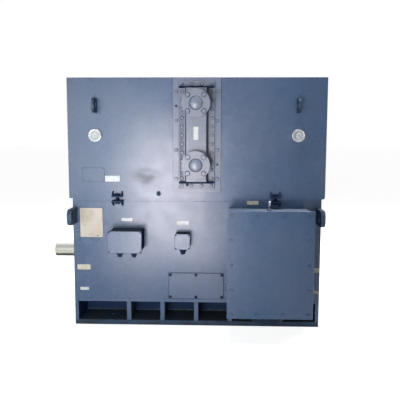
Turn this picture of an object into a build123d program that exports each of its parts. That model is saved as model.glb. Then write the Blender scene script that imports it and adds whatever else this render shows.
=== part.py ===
from build123d import *
import os

os.makedirs("parts", exist_ok=True)

# Foundation and shaft line, the standard sizes of a 450 mm centre height
SHAFT_HEIGHT = 450.0
BOLT_SPAN_X = 1250.0
BOLT_SPAN_Y = 800.0
BOLT_HOLE_D = 35.0
SHAFT_END_D = 120.0
SHAFT_END_LENGTH = 210.0
SHAFT_CHAMFER = 3.0
KEYWAY_WIDTH = 32.0
KEYWAY_DEPTH = 11.0
KEYWAY_LENGTH = 180.0

# Welded frame
FRAME_LENGTH = 1750.0
FRAME_WIDTH = 1040.0
FRAME_HEIGHT = 920.0
END_WALL_T = 25.0
SIDE_WALL_T = 12.0
TOP_PLATE_T = 20.0
FOOT_T = 35.0
POCKET_DEPTH = 250.0
POCKET_TOP = 172.0
POCKET_ROOF_T = 16.0
POCKET_BACK_T = 16.0
BELLY_T = 12.0
FOOT_RIB_T = 31.0
FOOT_RIB_PITCH = 242.0
FOOT_RIBS_PER_SIDE = 5
AIR_OPENING_LENGTH = 320.0
AIR_OPENING_WIDTH = 840.0
AIR_OPENING_INSET = 75.0
FRAME_LUG_T = 30.0
FRAME_LUG_REACH = 170.0
FRAME_LUG_HEIGHT = 112.0
FRAME_LUG_TOP_DROP = 64.0
FRAME_LUG_HOLE_D = 50.0
FRAME_LUG_CORNER_R = 45.0

# Inspection covers low on both long sides
INSPECT_WIDTH = 391.0
INSPECT_HEIGHT = 184.0
INSPECT_BOTTOM = 201.0
INSPECT_T = 6.0
INSPECT_RIM = 26.0
INSPECT_BOLT_EDGE = 12.0
INSPECT_BOX_GAP = 19.5

# Stator and rotor
CORE_LENGTH = 620.0
CORE_OD = 660.0
CORE_BORE = 430.0
AIR_GAP = 2.0
STATOR_SLOTS = 36
SLOT_WIDTH = 18.0
SLOT_DEPTH = 58.0
COIL_OVERHANG = 165.0
COIL_FLARE = 34.0
BULKHEADS = 4
BULKHEAD_T = 20.0
BULKHEAD_INSET = 25.0
ROTOR_BARS = 28
ROTOR_BAR_WIDTH = 9.0
ROTOR_BAR_DEPTH = 34.0
ROTOR_BAR_COVER = 7.0
END_RING_T = 22.0
END_RING_GAP = 18.0
SHAFT_CORE_D = 190.0
SHAFT_BODY_D = 170.0
SHAFT_CORE_SEAT = 840.0

# Fan at the drive end and the ring plate in front of it
FAN_D = 560.0
FAN_WIDTH = 85.0
FAN_DISC_T = 8.0
FAN_HUB_D = 230.0
FAN_BLADES = 10
FAN_BLADE_T = 5.0
FAN_BLADE_ROOT_D = 270.0
FAN_WALL_GAP = 135.0
FAN_GUIDE_GAP = 12.0
GUIDE_T = 6.0
GUIDE_EYE_D = 470.0

# Roller bearings
BEARING_BORE = 130.0
BEARING_OD = 230.0
BEARING_WIDTH = 40.0
ROLLER_D = 28.0
ROLLER_LENGTH = 28.0
ROLLERS = 10
RACE_LIP = 6.0
CAGE_T = 12.0
CAGE_WIDTH = 36.0

# End shields and bearing caps, measured outwards from the end wall's face
SHIELD_OPENING_D = 600.0
SHIELD_FLANGE_D = 680.0
SHIELD_FLANGE_T = 20.0
SHIELD_DISC_T = 16.0
SHIELD_DISH = 4.0
SHIELD_RIM_WIDTH = 55.0
SHIELD_SLOPE = 23.0
SHIELD_RIBS = 8
SHIELD_RIB_T = 14.0
SHIELD_BOLTS = 12
SHIELD_BOLT_CIRCLE_D = 628.0
HUB_D = 330.0
HUB_OUT = 27.0
HUB_IN = 45.0
BEARING_SET_BACK = 10.0
CAP_D = 310.0
CAP_OUT = 65.0
CAP_FLANGE_T = 18.0
CAP_BOSS_D = 236.0
CAP_BEVEL = 10.0
CAP_INNER_T = 20.0
CAP_WALL_T = 20.0
CAP_BOLTS = 6
CAP_BOLT_CIRCLE_D = 270.0
SEAL_D = 125.0
SEAL_GAP = 1.0
COLLAR_D = 150.0
REAR_STUB = 20.0

# Cooler housing on top of the frame
COOLER_LENGTH = 1790.0
COOLER_WIDTH = 1070.0
COOLER_HEIGHT = 835.0
COOLER_WALL_T = 8.0
COOLER_ROOF_T = 10.0
COOLER_FLANGE_WIDTH = 60.0
COOLER_FLANGE_T = 12.0
COOLER_CORNER_CUT = 11.0
COOLER_LUG_T = 18.0
COOLER_LUG_REACH = 110.0
COOLER_LUG_HEIGHT = 102.0
COOLER_LUG_END_INSET = 200.0
COOLER_LUG_TOP_DROP = 140.0
COOLER_LUG_HOLE_D = 40.0
COOLER_LUG_CORNER_R = 46.0

# Tube bundle with its water headers
BUNDLE_X = 5.0
BUNDLE_Z_ABOVE_FRAME = 442.0
WINDOW_WIDTH = 256.0
WINDOW_HEIGHT = 722.0
TUBE_SHEET_T = 20.0
TUBE_COLUMNS = 3
TUBE_ROWS = 8
TUBE_PITCH_X = 72.0
TUBE_PITCH_Z = 80.0
FIN_OD = 58.0
DUCT_PLATE_T = 10.0
END_PLATE_WIDTH = 331.0
END_PLATE_HEIGHT = 781.0
END_PLATE_T = 12.0
END_PLATE_BOLT_SPAN = 284.0
END_PLATE_BOLT_PITCH = 200.0
END_PLATE_BOLT_ROWS = 4
JACK_HOLE_D = 16.0
HEADER_FLANGE_WIDTH = 248.0
HEADER_FLANGE_HEIGHT = 732.0
HEADER_FLANGE_T = 20.0
HEADER_DEPTH = 100.0
HEADER_WIDTH = 136.0
HEADER_HEIGHT = 626.0
HEADER_DRAFT = 12.0
HEADER_WALL_T = 10.0
HEADER_RIB_WIDTH = 236.0
HEADER_RIB_T = 6.0
HEADER_RIB_REACH = 72.0
HEADER_BOLT_SPAN = 204.0
HEADER_BOLT_PITCH = 59.0
HEADER_BOLT_ROWS = 11
HEADER_END_BOLT_Z = 346.0
HEADER_END_BOLT_PITCH = 68.0
HEADER_END_BOLTS = 4
RETURN_DEPTH = 60.0
FLANGE_SPACING = 407.0
FLANGE_LIFT = 6.5
FLANGE_OD = 190.0
FLANGE_T = 20.0
FLANGE_BOLT_CIRCLE_D = 150.0
FLANGE_HOLE_D = 18.0
FLANGE_HOLES = 4
PIPE_OD = 92.0
PIPE_BORE = 82.0
PIPE_LENGTH = 50.0
PLUG_SET_BACK = 24.0
PLUG_T = 8.0
PLUG_DOME_D = 72.0
PLUG_DOME_H = 20.0

# Clamps that hold the cooler down on the frame
CLAMP_X = 551.0
CLAMP_WIDTH = 74.0
CLAMP_REACH = 48.0
CLAMP_PLATE_T = 12.0
CLAMP_OFFSET = 12.0
CLAMP_GUSSET_T = 10.0
CLAMP_GUSSET_H = 30.0
CLAMP_BOLT_D = 20.0
CLAMP_HOLE_D = 22.0
CLAMP_NUT_WIDTH = 30.0
CLAMP_NUT_T = 12.0
CLAMP_BOLT_OUT = 30.0

# Dial thermometers and plugs on the cooler
DIAL_X = 700.0
DIAL_ABOVE_FRAME = 440.0
DIAL_D = 87.0
DIAL_DEPTH = 28.0
DIAL_FACE_DROP = 3.0
DIAL_RIM = 6.0
LEAK_PLUG_X = -262.0
LEAK_PLUG_ABOVE_FRAME = 36.0
LEAK_PLUG_D = 30.0
DRAIN_PLUG_X = -60.0
DRAIN_PLUG_BELOW_BUNDLE = 340.0
DRAIN_PLUG_D = 20.0
PLUG_HEAD_T = 9.0

# Main terminal box
MAIN_BOX_END_INSET = 100.0
MAIN_BOX_WIDTH = 560.0
MAIN_BOX_BOTTOM = 170.0
MAIN_BOX_TOP_DROP = 40.0
MAIN_BOX_DEPTH = 350.0
MAIN_TOP_FALL = 20.0
MAIN_COVER_T = 10.0
MAIN_COVER_LIP = 8.0
MAIN_COVER_CORNER_R = 8.0
MAIN_GASKET_T = 3.0
MAIN_WALL_T = 6.0
MAIN_RIM_WIDTH = 36.0
MAIN_RIM_T = 8.0
MAIN_BOLT_EDGE = 28.0
MAIN_BOLT_COLUMNS = 4
MAIN_BOLT_ROWS = 5
LEAD_OPENING_WIDTH = 240.0
LEAD_OPENING_HEIGHT = 100.0
LEAD_OPENING_Z = 740.0
INSULATOR_Z = 560.0
INSULATOR_PITCH = 145.0
INSULATOR_D = 80.0
INSULATOR_SHED_D = 104.0
INSULATOR_LENGTH = 130.0
INSULATOR_SHEDS = 2
INSULATOR_SHED_T = 12.0
STUD_D = 24.0
STUD_LENGTH = 55.0
STUD_NUT_WIDTH = 36.0
STUD_NUT_T = 12.0
ENTRY_OUT = 170.0
ENTRY_FLANGE_D = 250.0
ENTRY_FLANGE_T = 12.0
ENTRY_NECK_D = 214.0
ENTRY_NECK_WALL = 14.0
ENTRY_LENGTH = 70.0
ENTRY_RING_T = 20.0
ENTRY_BORE = 90.0
EYE_OUT = 200.0
EYE_PAD_D = 44.0
EYE_PAD_DROP = 5.0
EYE_OD = 54.0
EYE_HOLE_D = 28.0
EYE_T = 12.0
EYE_COLLAR_D = 32.0
EYE_COLLAR_T = 12.0
EYE_STEM_WIDTH = 24.0

# Two small auxiliary boxes with their glands
AUX_BOX_END_INSET = 278.0
AUX_BOX_Z = 636.0
AUX_BOX_WIDTH = 232.0
AUX_BOX_HEIGHT = 152.0
AUX_BOX_DEPTH = 170.0
SMALL_BOX_X = -92.0
SMALL_BOX_Z = 629.0
SMALL_BOX_WIDTH = 108.0
SMALL_BOX_HEIGHT = 110.0
SMALL_BOX_DEPTH = 100.0
AUX_LID_T = 14.0
AUX_WALL_T = 6.0
AUX_LIP = 4.0
AUX_CORNER_R = 8.0
AUX_GLAND_PITCH = 100.0
GLAND_NUT_WIDTH = 42.0
GLAND_NUT_T = 12.0
GLAND_CAP_D = 36.0
GLAND_CAP_T = 12.0
GLAND_BORE = 18.0

# Blank plates on the front of the frame
PLATE_T = 1.5
NAMEPLATE_WIDTH = 160.0
NAMEPLATE_HEIGHT = 208.0
NAMEPLATE_END_INSET = 131.0
NAMEPLATE_TOP_DROP = 175.0

# Hexagon heads and the clearances of seats
HEX_WIDTH = 19.0
HEX_HEIGHT = 8.0
SHIELD_HEX_WIDTH = 24.0
SHIELD_HEX_HEIGHT = 11.0
SEAT = 0.3
FIT = 0.05
ROLLER_PLAY = 0.15

# Faces and levels that several pieces share
HALF_LENGTH = FRAME_LENGTH / 2
HALF_WIDTH = FRAME_WIDTH / 2
INNER_LENGTH = FRAME_LENGTH - 2 * END_WALL_T
INNER_HALF = INNER_LENGTH / 2
SIDE_INSIDE = HALF_WIDTH - SIDE_WALL_T
POCKET_BACK = HALF_WIDTH - POCKET_DEPTH
BELLY_HALF = POCKET_BACK - POCKET_BACK_T
ROOF_TOP = POCKET_TOP + POCKET_ROOF_T
WALL_TOP = FRAME_HEIGHT - TOP_PLATE_T
COOLER_HALF = COOLER_WIDTH / 2
COOLER_INSIDE = COOLER_HALF - COOLER_WALL_T
COOLER_TOP = FRAME_HEIGHT + COOLER_HEIGHT
BUNDLE_Z = FRAME_HEIGHT + BUNDLE_Z_ABOVE_FRAME
END_PLATE_FACE = COOLER_HALF + END_PLATE_T
HEADER_FLANGE_FACE = END_PLATE_FACE + HEADER_FLANGE_T
HEADER_FRONT = HEADER_FLANGE_FACE + HEADER_DEPTH
FLANGE_FRONT = HEADER_FRONT + PIPE_LENGTH + FLANGE_T
MAIN_BOX_X = HALF_LENGTH - MAIN_BOX_END_INSET - MAIN_BOX_WIDTH / 2
MAIN_BOX_TOP = FRAME_HEIGHT - MAIN_BOX_TOP_DROP
MAIN_COVER_BACK = HALF_WIDTH + MAIN_BOX_DEPTH - MAIN_COVER_T
MAIN_BODY_FRONT = MAIN_COVER_BACK - MAIN_GASKET_T
MAIN_BODY_BOTTOM = MAIN_BOX_BOTTOM + MAIN_COVER_LIP
MAIN_BODY_TOP = MAIN_BOX_TOP - MAIN_COVER_LIP
MAIN_BOX_Z = (MAIN_BOX_TOP + MAIN_BOX_BOTTOM) / 2
EYE_SEAT = MAIN_BODY_TOP - EYE_PAD_DROP
INSPECT_X = MAIN_BOX_X - MAIN_BOX_WIDTH / 2 - INSPECT_BOX_GAP - INSPECT_WIDTH / 2
AUX_BOX_X = -HALF_LENGTH + AUX_BOX_END_INSET + AUX_BOX_WIDTH / 2
CLAMP_FRONT = max(COOLER_HALF, HALF_WIDTH) + CLAMP_REACH
SHAFT_LINE = Axis((0, 0, SHAFT_HEIGHT), (1, 0, 0))


def block(x0, x1, y0, y1, z0, z1):
    """A flat-sided block between two opposite corners."""
    middle = Pos((x0 + x1) / 2, (y0 + y1) / 2, (z0 + z1) / 2)
    return middle * Box(abs(x1 - x0), abs(y1 - y0), abs(z1 - z0))


def front_plate(x, z, width, height, back, thickness, corner=0.0):
    """A plate lying on a surface that faces the front, back at distance back from the middle plane."""
    outline = RectangleRounded(width, height, corner) if corner else Rectangle(width, height)
    return extrude(Plane.XZ.offset(back) * Pos(x, z) * outline, thickness)


def turned(points):
    """A body turned about the shaft line from points of distance along it and radius."""
    corners = [(x, 0, SHAFT_HEIGHT + radius) for x, radius in points]
    return revolve(make_face(Polyline(*corners, close=True)), SHAFT_LINE)


def end_turned(points, end):
    """A body turned about the shaft line, its points measured outwards from one end wall's face."""
    return turned([(end * (HALF_LENGTH + x), radius) for x, radius in points])


def around_shaft(piece, angle):
    """The piece turned about the shaft line."""
    return piece.rotate(SHAFT_LINE, angle)


def front_and_back(piece):
    """The piece and its mirror image on the other long side."""
    return [piece, mirror(piece, Plane.XZ)]


def left_and_right(pieces):
    """The pieces and their mirror images at the other end."""
    return pieces + [mirror(piece, Plane.YZ) for piece in pieces]


def spread(count, pitch):
    """Evenly spaced places about zero."""
    return [(i - (count - 1) / 2) * pitch for i in range(count)]


def hex_heads(places, back, width=HEX_WIDTH, height=HEX_HEIGHT):
    """Hexagon heads seated on a surface that faces the front."""
    outline = RegularPolygon(width / 2, 6, major_radius=False)
    seat = Plane.XZ.offset(back)
    return [extrude(seat * Pos(x, z) * outline, height) for x, z in places]


def save(name, pieces):
    """Writes one sub-part, a single solid or a group of like solids."""
    solids = [solid for piece in pieces for solid in piece.solids()]
    export_step(Compound(children=solids), f"parts/{name}.step")


# Frame: welded steel plates

def foot_rails():
    rail = block(-HALF_LENGTH, HALF_LENGTH, -HALF_WIDTH, -POCKET_BACK, 0, FOOT_T)
    for x in (-BOLT_SPAN_X / 2, BOLT_SPAN_X / 2):
        rail -= Pos(x, -BOLT_SPAN_Y / 2, FOOT_T / 2) * Cylinder(BOLT_HOLE_D / 2, FOOT_T)
    return front_and_back(rail)


def foot_ribs():
    ribs = []
    for x in spread(FOOT_RIBS_PER_SIDE, FOOT_RIB_PITCH):
        left, right = x - FOOT_RIB_T / 2, x + FOOT_RIB_T / 2
        rib = block(left, right, -HALF_WIDTH, -POCKET_BACK, FOOT_T, POCKET_TOP)
        ribs += front_and_back(rib)
    return ribs


def end_walls():
    wall = block(-HALF_LENGTH, -INNER_HALF, -HALF_WIDTH, HALF_WIDTH, FOOT_T, WALL_TOP)
    centre = Pos(-HALF_LENGTH + END_WALL_T / 2, 0, SHAFT_HEIGHT)
    opening = centre * Rot(0, 90, 0) * Cylinder(SHIELD_OPENING_D / 2, END_WALL_T)
    return left_and_right([wall - opening])


def inspection_opening():
    z = INSPECT_BOTTOM + INSPECT_HEIGHT / 2
    width = INSPECT_WIDTH - 2 * INSPECT_RIM
    height = INSPECT_HEIGHT - 2 * INSPECT_RIM
    return front_plate(INSPECT_X, z, width, height, SIDE_INSIDE, SIDE_WALL_T)


def side_walls():
    wall = block(-INNER_HALF, INNER_HALF, -HALF_WIDTH, -SIDE_INSIDE, ROOF_TOP, WALL_TOP)
    wall -= inspection_opening()
    back = mirror(wall, Plane.XZ)
    lead_width, lead_height = LEAD_OPENING_WIDTH, LEAD_OPENING_HEIGHT
    wall -= front_plate(MAIN_BOX_X, LEAD_OPENING_Z, lead_width, lead_height, SIDE_INSIDE, SIDE_WALL_T)
    return [wall, back]


def chamber_section():
    """The cross-section of the space inside the frame."""
    upper = Pos(0, (ROOF_TOP + WALL_TOP) / 2) * Rectangle(2 * SIDE_INSIDE, WALL_TOP - ROOF_TOP)
    floor = FOOT_T + BELLY_T
    lower = Pos(0, (floor + ROOF_TOP) / 2) * Rectangle(2 * BELLY_HALF, ROOF_TOP - floor)
    return upper + lower


def ring_wall(x, thickness, hole_d):
    """A wall across the whole inside of the frame with a round hole on the shaft line."""
    outline = chamber_section() - Pos(0, SHAFT_HEIGHT) * Circle(hole_d / 2)
    return extrude(Plane.YZ.offset(x - thickness / 2) * outline, thickness)


def core_bulkheads():
    pitch = (CORE_LENGTH - 2 * BULKHEAD_INSET) / (BULKHEADS - 1)
    return [ring_wall(x, BULKHEAD_T, CORE_OD + 2 * FIT) for x in spread(BULKHEADS, pitch)]


def frame_top_plate():
    plate = block(-HALF_LENGTH, HALF_LENGTH, -HALF_WIDTH, HALF_WIDTH, WALL_TOP, FRAME_HEIGHT)
    outer = INNER_HALF - AIR_OPENING_INSET
    half = AIR_OPENING_WIDTH / 2
    opening = block(-outer, AIR_OPENING_LENGTH - outer, -half, half, WALL_TOP, FRAME_HEIGHT)
    for cut in left_and_right([opening]):
        plate -= cut
    return [plate]


def lug_outline(wall_y, reach, top, height, corner_r, hole_d):
    """Outline of a lifting lug on the front wall: rounded outer corners and a hole in its middle."""
    middle = Pos(wall_y - reach / 2, top - height / 2)
    outline = middle * Rectangle(reach, height)
    outer = outline.vertices().group_by(Axis.X)[0]
    return fillet(outer, min(corner_r, height / 2 - SEAT)) - middle * Circle(hole_d / 2)


def frame_lifting_lugs():
    top = FRAME_HEIGHT - FRAME_LUG_TOP_DROP
    sizes = (FRAME_LUG_REACH, top, FRAME_LUG_HEIGHT, FRAME_LUG_CORNER_R, FRAME_LUG_HOLE_D)
    outline = lug_outline(-HALF_WIDTH, *sizes)
    lug = extrude(Plane.YZ.offset(-HALF_LENGTH) * outline, FRAME_LUG_T)
    return left_and_right(front_and_back(lug))


def inspection_covers():
    z = INSPECT_BOTTOM + INSPECT_HEIGHT / 2
    return front_and_back(front_plate(INSPECT_X, z, INSPECT_WIDTH, INSPECT_HEIGHT, HALF_WIDTH, INSPECT_T))


def inspection_bolts():
    side = INSPECT_WIDTH / 2 - INSPECT_BOLT_EDGE
    bottom = INSPECT_BOTTOM + INSPECT_BOLT_EDGE
    top = INSPECT_BOTTOM + INSPECT_HEIGHT - INSPECT_BOLT_EDGE
    places = [(INSPECT_X + x, z) for x in (-side, 0, side) for z in (bottom, top)]
    heads = hex_heads(places, HALF_WIDTH + INSPECT_T)
    return heads + [mirror(head, Plane.XZ) for head in heads]


save("foot_rails", foot_rails())
save("foot_ribs", foot_ribs())
save("end_walls", end_walls())
save("side_walls", side_walls())
roof = block(-INNER_HALF, INNER_HALF, -HALF_WIDTH, -BELLY_HALF, POCKET_TOP, ROOF_TOP)
save("pocket_roofs", front_and_back(roof))
pocket_back = block(-INNER_HALF, INNER_HALF, -POCKET_BACK, -BELLY_HALF, FOOT_T, POCKET_TOP)
save("pocket_back_walls", front_and_back(pocket_back))
belly = block(-INNER_HALF, INNER_HALF, -BELLY_HALF, BELLY_HALF, FOOT_T, FOOT_T + BELLY_T)
save("belly_plate", [belly])
save("core_bulkheads", core_bulkheads())
save("frame_top_plate", frame_top_plate())
save("frame_lifting_lugs", frame_lifting_lugs())
save("inspection_covers", inspection_covers())
save("inspection_bolts", inspection_bolts())


# End shields, bearing caps and bearings

def end_shield(end):
    flange_r = SHIELD_FLANGE_D / 2
    rim_r = flange_r - SHIELD_RIM_WIDTH
    spigot_r = SHIELD_OPENING_D / 2 - SEAT
    inner = -SHIELD_DISH - SHIELD_DISC_T
    hub_r = HUB_D / 2
    bore_r = BEARING_OD / 2
    shield = end_turned(
        [
            (-HUB_IN, bore_r),
            (-HUB_IN, hub_r),
            (inner, hub_r),
            (inner, spigot_r),
            (0, spigot_r),
            (0, flange_r),
            (SHIELD_FLANGE_T, flange_r),
            (SHIELD_FLANGE_T, rim_r),
            (-SHIELD_DISH, rim_r - SHIELD_SLOPE),
            (-SHIELD_DISH, hub_r),
            (HUB_OUT, hub_r),
            (HUB_OUT, bore_r),
        ],
        end,
    )
    rib_in = end * (HALF_LENGTH - SHIELD_DISH)
    rib_out = end * (HALF_LENGTH + SHIELD_FLANGE_T)
    rib_ends = (SHAFT_HEIGHT + (bore_r + hub_r) / 2, SHAFT_HEIGHT + rim_r)
    rib = block(rib_in, rib_out, -SHIELD_RIB_T / 2, SHIELD_RIB_T / 2, *rib_ends)
    for i in range(SHIELD_RIBS):
        shield += around_shaft(rib, (i + 0.5) * 360 / SHIELD_RIBS)
    return [shield]


def ring_of_heads(face, circle_d, count, turn, end):
    """The larger hexagon heads on a circle about the shaft line, on a face outside an end wall."""
    outline = RegularPolygon(SHIELD_HEX_WIDTH / 2, 6, major_radius=False)
    start = face if end > 0 else -face - SHIELD_HEX_HEIGHT
    centre = Pos(0, SHAFT_HEIGHT + circle_d / 2)
    head = extrude(Plane.YZ.offset(start) * centre * outline, SHIELD_HEX_HEIGHT)
    return [around_shaft(head, turn + i * 360 / count) for i in range(count)]


def end_shield_bolts():
    face = HALF_LENGTH + SHIELD_FLANGE_T
    turn = 180 / SHIELD_BOLTS
    left, right = [ring_of_heads(face, SHIELD_BOLT_CIRCLE_D, SHIELD_BOLTS, turn, end) for end in (-1, 1)]
    return left + right


BEARING_OUT = BEARING_SET_BACK
BEARING_IN = BEARING_SET_BACK - BEARING_WIDTH
PITCH_R = (BEARING_BORE + BEARING_OD) / 4
OUTER_RACE_R = PITCH_R + ROLLER_D / 2
INNER_RACE_R = PITCH_R - ROLLER_D / 2
CAP_SPIGOT_R = BEARING_OD / 2 - FIT
CAP_CAVITY_R = OUTER_RACE_R - RACE_LIP


def drive_bearing_cap():
    running_r = SEAL_D / 2 + SEAL_GAP
    cavity_end = CAP_OUT - CAP_WALL_T
    return [
        end_turned(
            [
                (BEARING_OUT + SEAT, CAP_CAVITY_R),
                (BEARING_OUT + SEAT, CAP_SPIGOT_R),
                (HUB_OUT, CAP_SPIGOT_R),
                (HUB_OUT, CAP_D / 2),
                (HUB_OUT + CAP_FLANGE_T, CAP_D / 2),
                (HUB_OUT + CAP_FLANGE_T, CAP_BOSS_D / 2),
                (CAP_OUT - CAP_BEVEL, CAP_BOSS_D / 2),
                (CAP_OUT, CAP_BOSS_D / 2 - CAP_BEVEL),
                (CAP_OUT, running_r),
                (cavity_end, running_r),
                (cavity_end, CAP_CAVITY_R),
            ],
            -1,
        )
    ]


def rear_bearing_cap():
    closed = HUB_OUT + CAP_FLANGE_T
    return [
        end_turned(
            [
                (BEARING_OUT + SEAT, CAP_CAVITY_R),
                (BEARING_OUT + SEAT, CAP_SPIGOT_R),
                (HUB_OUT, CAP_SPIGOT_R),
                (HUB_OUT, CAP_D / 2),
                (closed, CAP_D / 2),
                (closed, 0),
                (HUB_OUT, 0),
                (HUB_OUT, CAP_CAVITY_R),
            ],
            1,
        )
    ]


def inner_bearing_caps():
    running_r = COLLAR_D / 2 + SEAL_GAP
    inner_face = -HUB_IN - CAP_INNER_T
    cavity_end = -HUB_IN - SEAL_GAP
    points = [
        (inner_face, running_r),
        (inner_face, CAP_D / 2),
        (-HUB_IN, CAP_D / 2),
        (-HUB_IN, CAP_SPIGOT_R),
        (BEARING_IN - SEAT, CAP_SPIGOT_R),
        (BEARING_IN - SEAT, CAP_CAVITY_R),
        (cavity_end, CAP_CAVITY_R),
        (cavity_end, running_r),
    ]
    return [end_turned(points, end) for end in (-1, 1)]


def bearing_cap_bolts():
    face = HALF_LENGTH + HUB_OUT + CAP_FLANGE_T
    left, right = [ring_of_heads(face, CAP_BOLT_CIRCLE_D, CAP_BOLTS, 0, end) for end in (-1, 1)]
    return left + right


def bearing_outer_rings():
    lip_r = OUTER_RACE_R - RACE_LIP
    outer_r = BEARING_OD / 2 - FIT
    track = (ROLLER_LENGTH + SEAT) / 2
    middle = (BEARING_IN + BEARING_OUT) / 2
    points = [
        (BEARING_IN, lip_r),
        (BEARING_IN, outer_r),
        (BEARING_OUT, outer_r),
        (BEARING_OUT, lip_r),
        (middle + track, lip_r),
        (middle + track, OUTER_RACE_R),
        (middle - track, OUTER_RACE_R),
        (middle - track, lip_r),
    ]
    return [end_turned(points, end) for end in (-1, 1)]


def bearing_inner_rings():
    bore_r = BEARING_BORE / 2 + FIT
    points = [
        (BEARING_IN, bore_r),
        (BEARING_IN, INNER_RACE_R),
        (BEARING_OUT, INNER_RACE_R),
        (BEARING_OUT, bore_r),
    ]
    return [end_turned(points, end) for end in (-1, 1)]


def bearing_rollers(end):
    middle = end * (HALF_LENGTH + (BEARING_IN + BEARING_OUT) / 2)
    radius = ROLLER_D / 2 - ROLLER_PLAY
    roller = Pos(middle, 0, SHAFT_HEIGHT + PITCH_R) * Rot(0, 90, 0) * Cylinder(radius, ROLLER_LENGTH)
    return [around_shaft(roller, i * 360 / ROLLERS) for i in range(ROLLERS)]


def bearing_cage(end):
    middle = (BEARING_IN + BEARING_OUT) / 2
    inside, outside = middle - CAGE_WIDTH / 2, middle + CAGE_WIDTH / 2
    r0, r1 = PITCH_R - CAGE_T / 2, PITCH_R + CAGE_T / 2
    cage = end_turned([(inside, r0), (inside, r1), (outside, r1), (outside, r0)], end)
    length = ROLLER_LENGTH + 2 * SEAT
    width = ROLLER_D + 2 * SEAT
    pocket = Pos(end * (HALF_LENGTH + middle), 0, SHAFT_HEIGHT + PITCH_R) * Box(length, width, 2 * CAGE_T)
    for i in range(ROLLERS):
        cage -= around_shaft(pocket, i * 360 / ROLLERS)
    return [cage]


save("drive_end_shield", end_shield(-1))
save("rear_end_shield", end_shield(1))
save("end_shield_bolts", end_shield_bolts())
save("drive_bearing_cap", drive_bearing_cap())
save("rear_bearing_cap", rear_bearing_cap())
save("inner_bearing_caps", inner_bearing_caps())
save("bearing_cap_bolts", bearing_cap_bolts())
save("bearing_outer_rings", bearing_outer_rings())
save("bearing_inner_rings", bearing_inner_rings())
for name, end in (("drive", -1), ("rear", 1)):
    save(f"{name}_bearing_rollers", bearing_rollers(end))
    save(f"{name}_bearing_cage", bearing_cage(end))


# Stator core, winding and rotor

def stator_core():
    half = CORE_LENGTH / 2
    bore_r = CORE_BORE / 2
    core = turned([(-half, bore_r), (-half, CORE_OD / 2), (half, CORE_OD / 2), (half, bore_r)])
    section = Rectangle(SLOT_WIDTH, 2 * SLOT_DEPTH)
    slots = Sketch() + [
        Pos(0, SHAFT_HEIGHT) * Rot(0, 0, i * 360 / STATOR_SLOTS) * Pos(0, bore_r) * section
        for i in range(STATOR_SLOTS)
    ]
    return [core - extrude(Plane.YZ.offset(-half) * slots, CORE_LENGTH)]


def stator_winding():
    inner_r = CORE_BORE / 2 + AIR_GAP
    outer_r = CORE_BORE / 2 + SLOT_DEPTH - SEAT
    middle_r = (inner_r + outer_r) / 2
    start = CORE_LENGTH / 2 + SLOT_WIDTH
    end = CORE_LENGTH / 2 + COIL_OVERHANG
    bars = Sketch() + [
        Pos(0, SHAFT_HEIGHT)
        * Rot(0, 0, i * 360 / STATOR_SLOTS)
        * Pos(0, middle_r)
        * Rectangle(SLOT_WIDTH - 2 * SEAT, outer_r - inner_r)
        for i in range(STATOR_SLOTS)
    ]
    winding = extrude(Plane.YZ.offset(-start) * bars, 2 * start)
    basket = turned(
        [
            (start, inner_r),
            (start, outer_r),
            (end - COIL_FLARE, outer_r + COIL_FLARE),
            (end, outer_r),
            (end - COIL_FLARE, inner_r + COIL_FLARE / 2),
        ]
    )
    return [winding + basket + mirror(basket, Plane.YZ)]


ROTOR_R = CORE_BORE / 2 - AIR_GAP
BAR_OUT_R = ROTOR_R - ROTOR_BAR_COVER
BAR_MIDDLE_R = BAR_OUT_R - ROTOR_BAR_DEPTH / 2


def rotor_bar_section(clearance):
    """The sections of all rotor bars, or of their slots when a clearance is given."""
    section = Rectangle(ROTOR_BAR_WIDTH + 2 * clearance, ROTOR_BAR_DEPTH + 2 * clearance)
    return Sketch() + [
        Pos(0, SHAFT_HEIGHT) * Rot(0, 0, i * 360 / ROTOR_BARS) * Pos(0, BAR_MIDDLE_R) * section
        for i in range(ROTOR_BARS)
    ]


def rotor_core():
    half = CORE_LENGTH / 2
    bore_r = SHAFT_CORE_D / 2 + FIT
    core = turned([(-half, bore_r), (-half, ROTOR_R), (half, ROTOR_R), (half, bore_r)])
    return [core - extrude(Plane.YZ.offset(-half) * rotor_bar_section(SEAT), CORE_LENGTH)]


def rotor_cage():
    start = CORE_LENGTH / 2 + END_RING_GAP
    end = start + END_RING_T
    inner_r = BAR_OUT_R - ROTOR_BAR_DEPTH
    ring = turned([(start, inner_r), (start, BAR_OUT_R), (end, BAR_OUT_R), (end, inner_r)])
    bars = extrude(Plane.YZ.offset(-end) * rotor_bar_section(0), 2 * end)
    return [bars + ring + mirror(ring, Plane.YZ)]


FAN_BACK_X = -HALF_LENGTH + FAN_WALL_GAP
FAN_FRONT_X = FAN_BACK_X + FAN_WIDTH


def rotor_fan():
    bore_r = SHAFT_BODY_D / 2 + FIT
    disc_x = FAN_BACK_X + FAN_DISC_T
    fan = turned(
        [
            (FAN_BACK_X, bore_r),
            (FAN_BACK_X, FAN_D / 2),
            (disc_x, FAN_D / 2),
            (disc_x, FAN_HUB_D / 2),
            (FAN_FRONT_X, FAN_HUB_D / 2),
            (FAN_FRONT_X, bore_r),
        ]
    )
    half = FAN_BLADE_T / 2
    blade_ends = (SHAFT_HEIGHT + FAN_BLADE_ROOT_D / 2, SHAFT_HEIGHT + FAN_D / 2 - FAN_DISC_T)
    blade = block(disc_x, FAN_FRONT_X, -half, half, *blade_ends)
    for i in range(FAN_BLADES):
        fan += around_shaft(blade, i * 360 / FAN_BLADES)
    return [fan]


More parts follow.
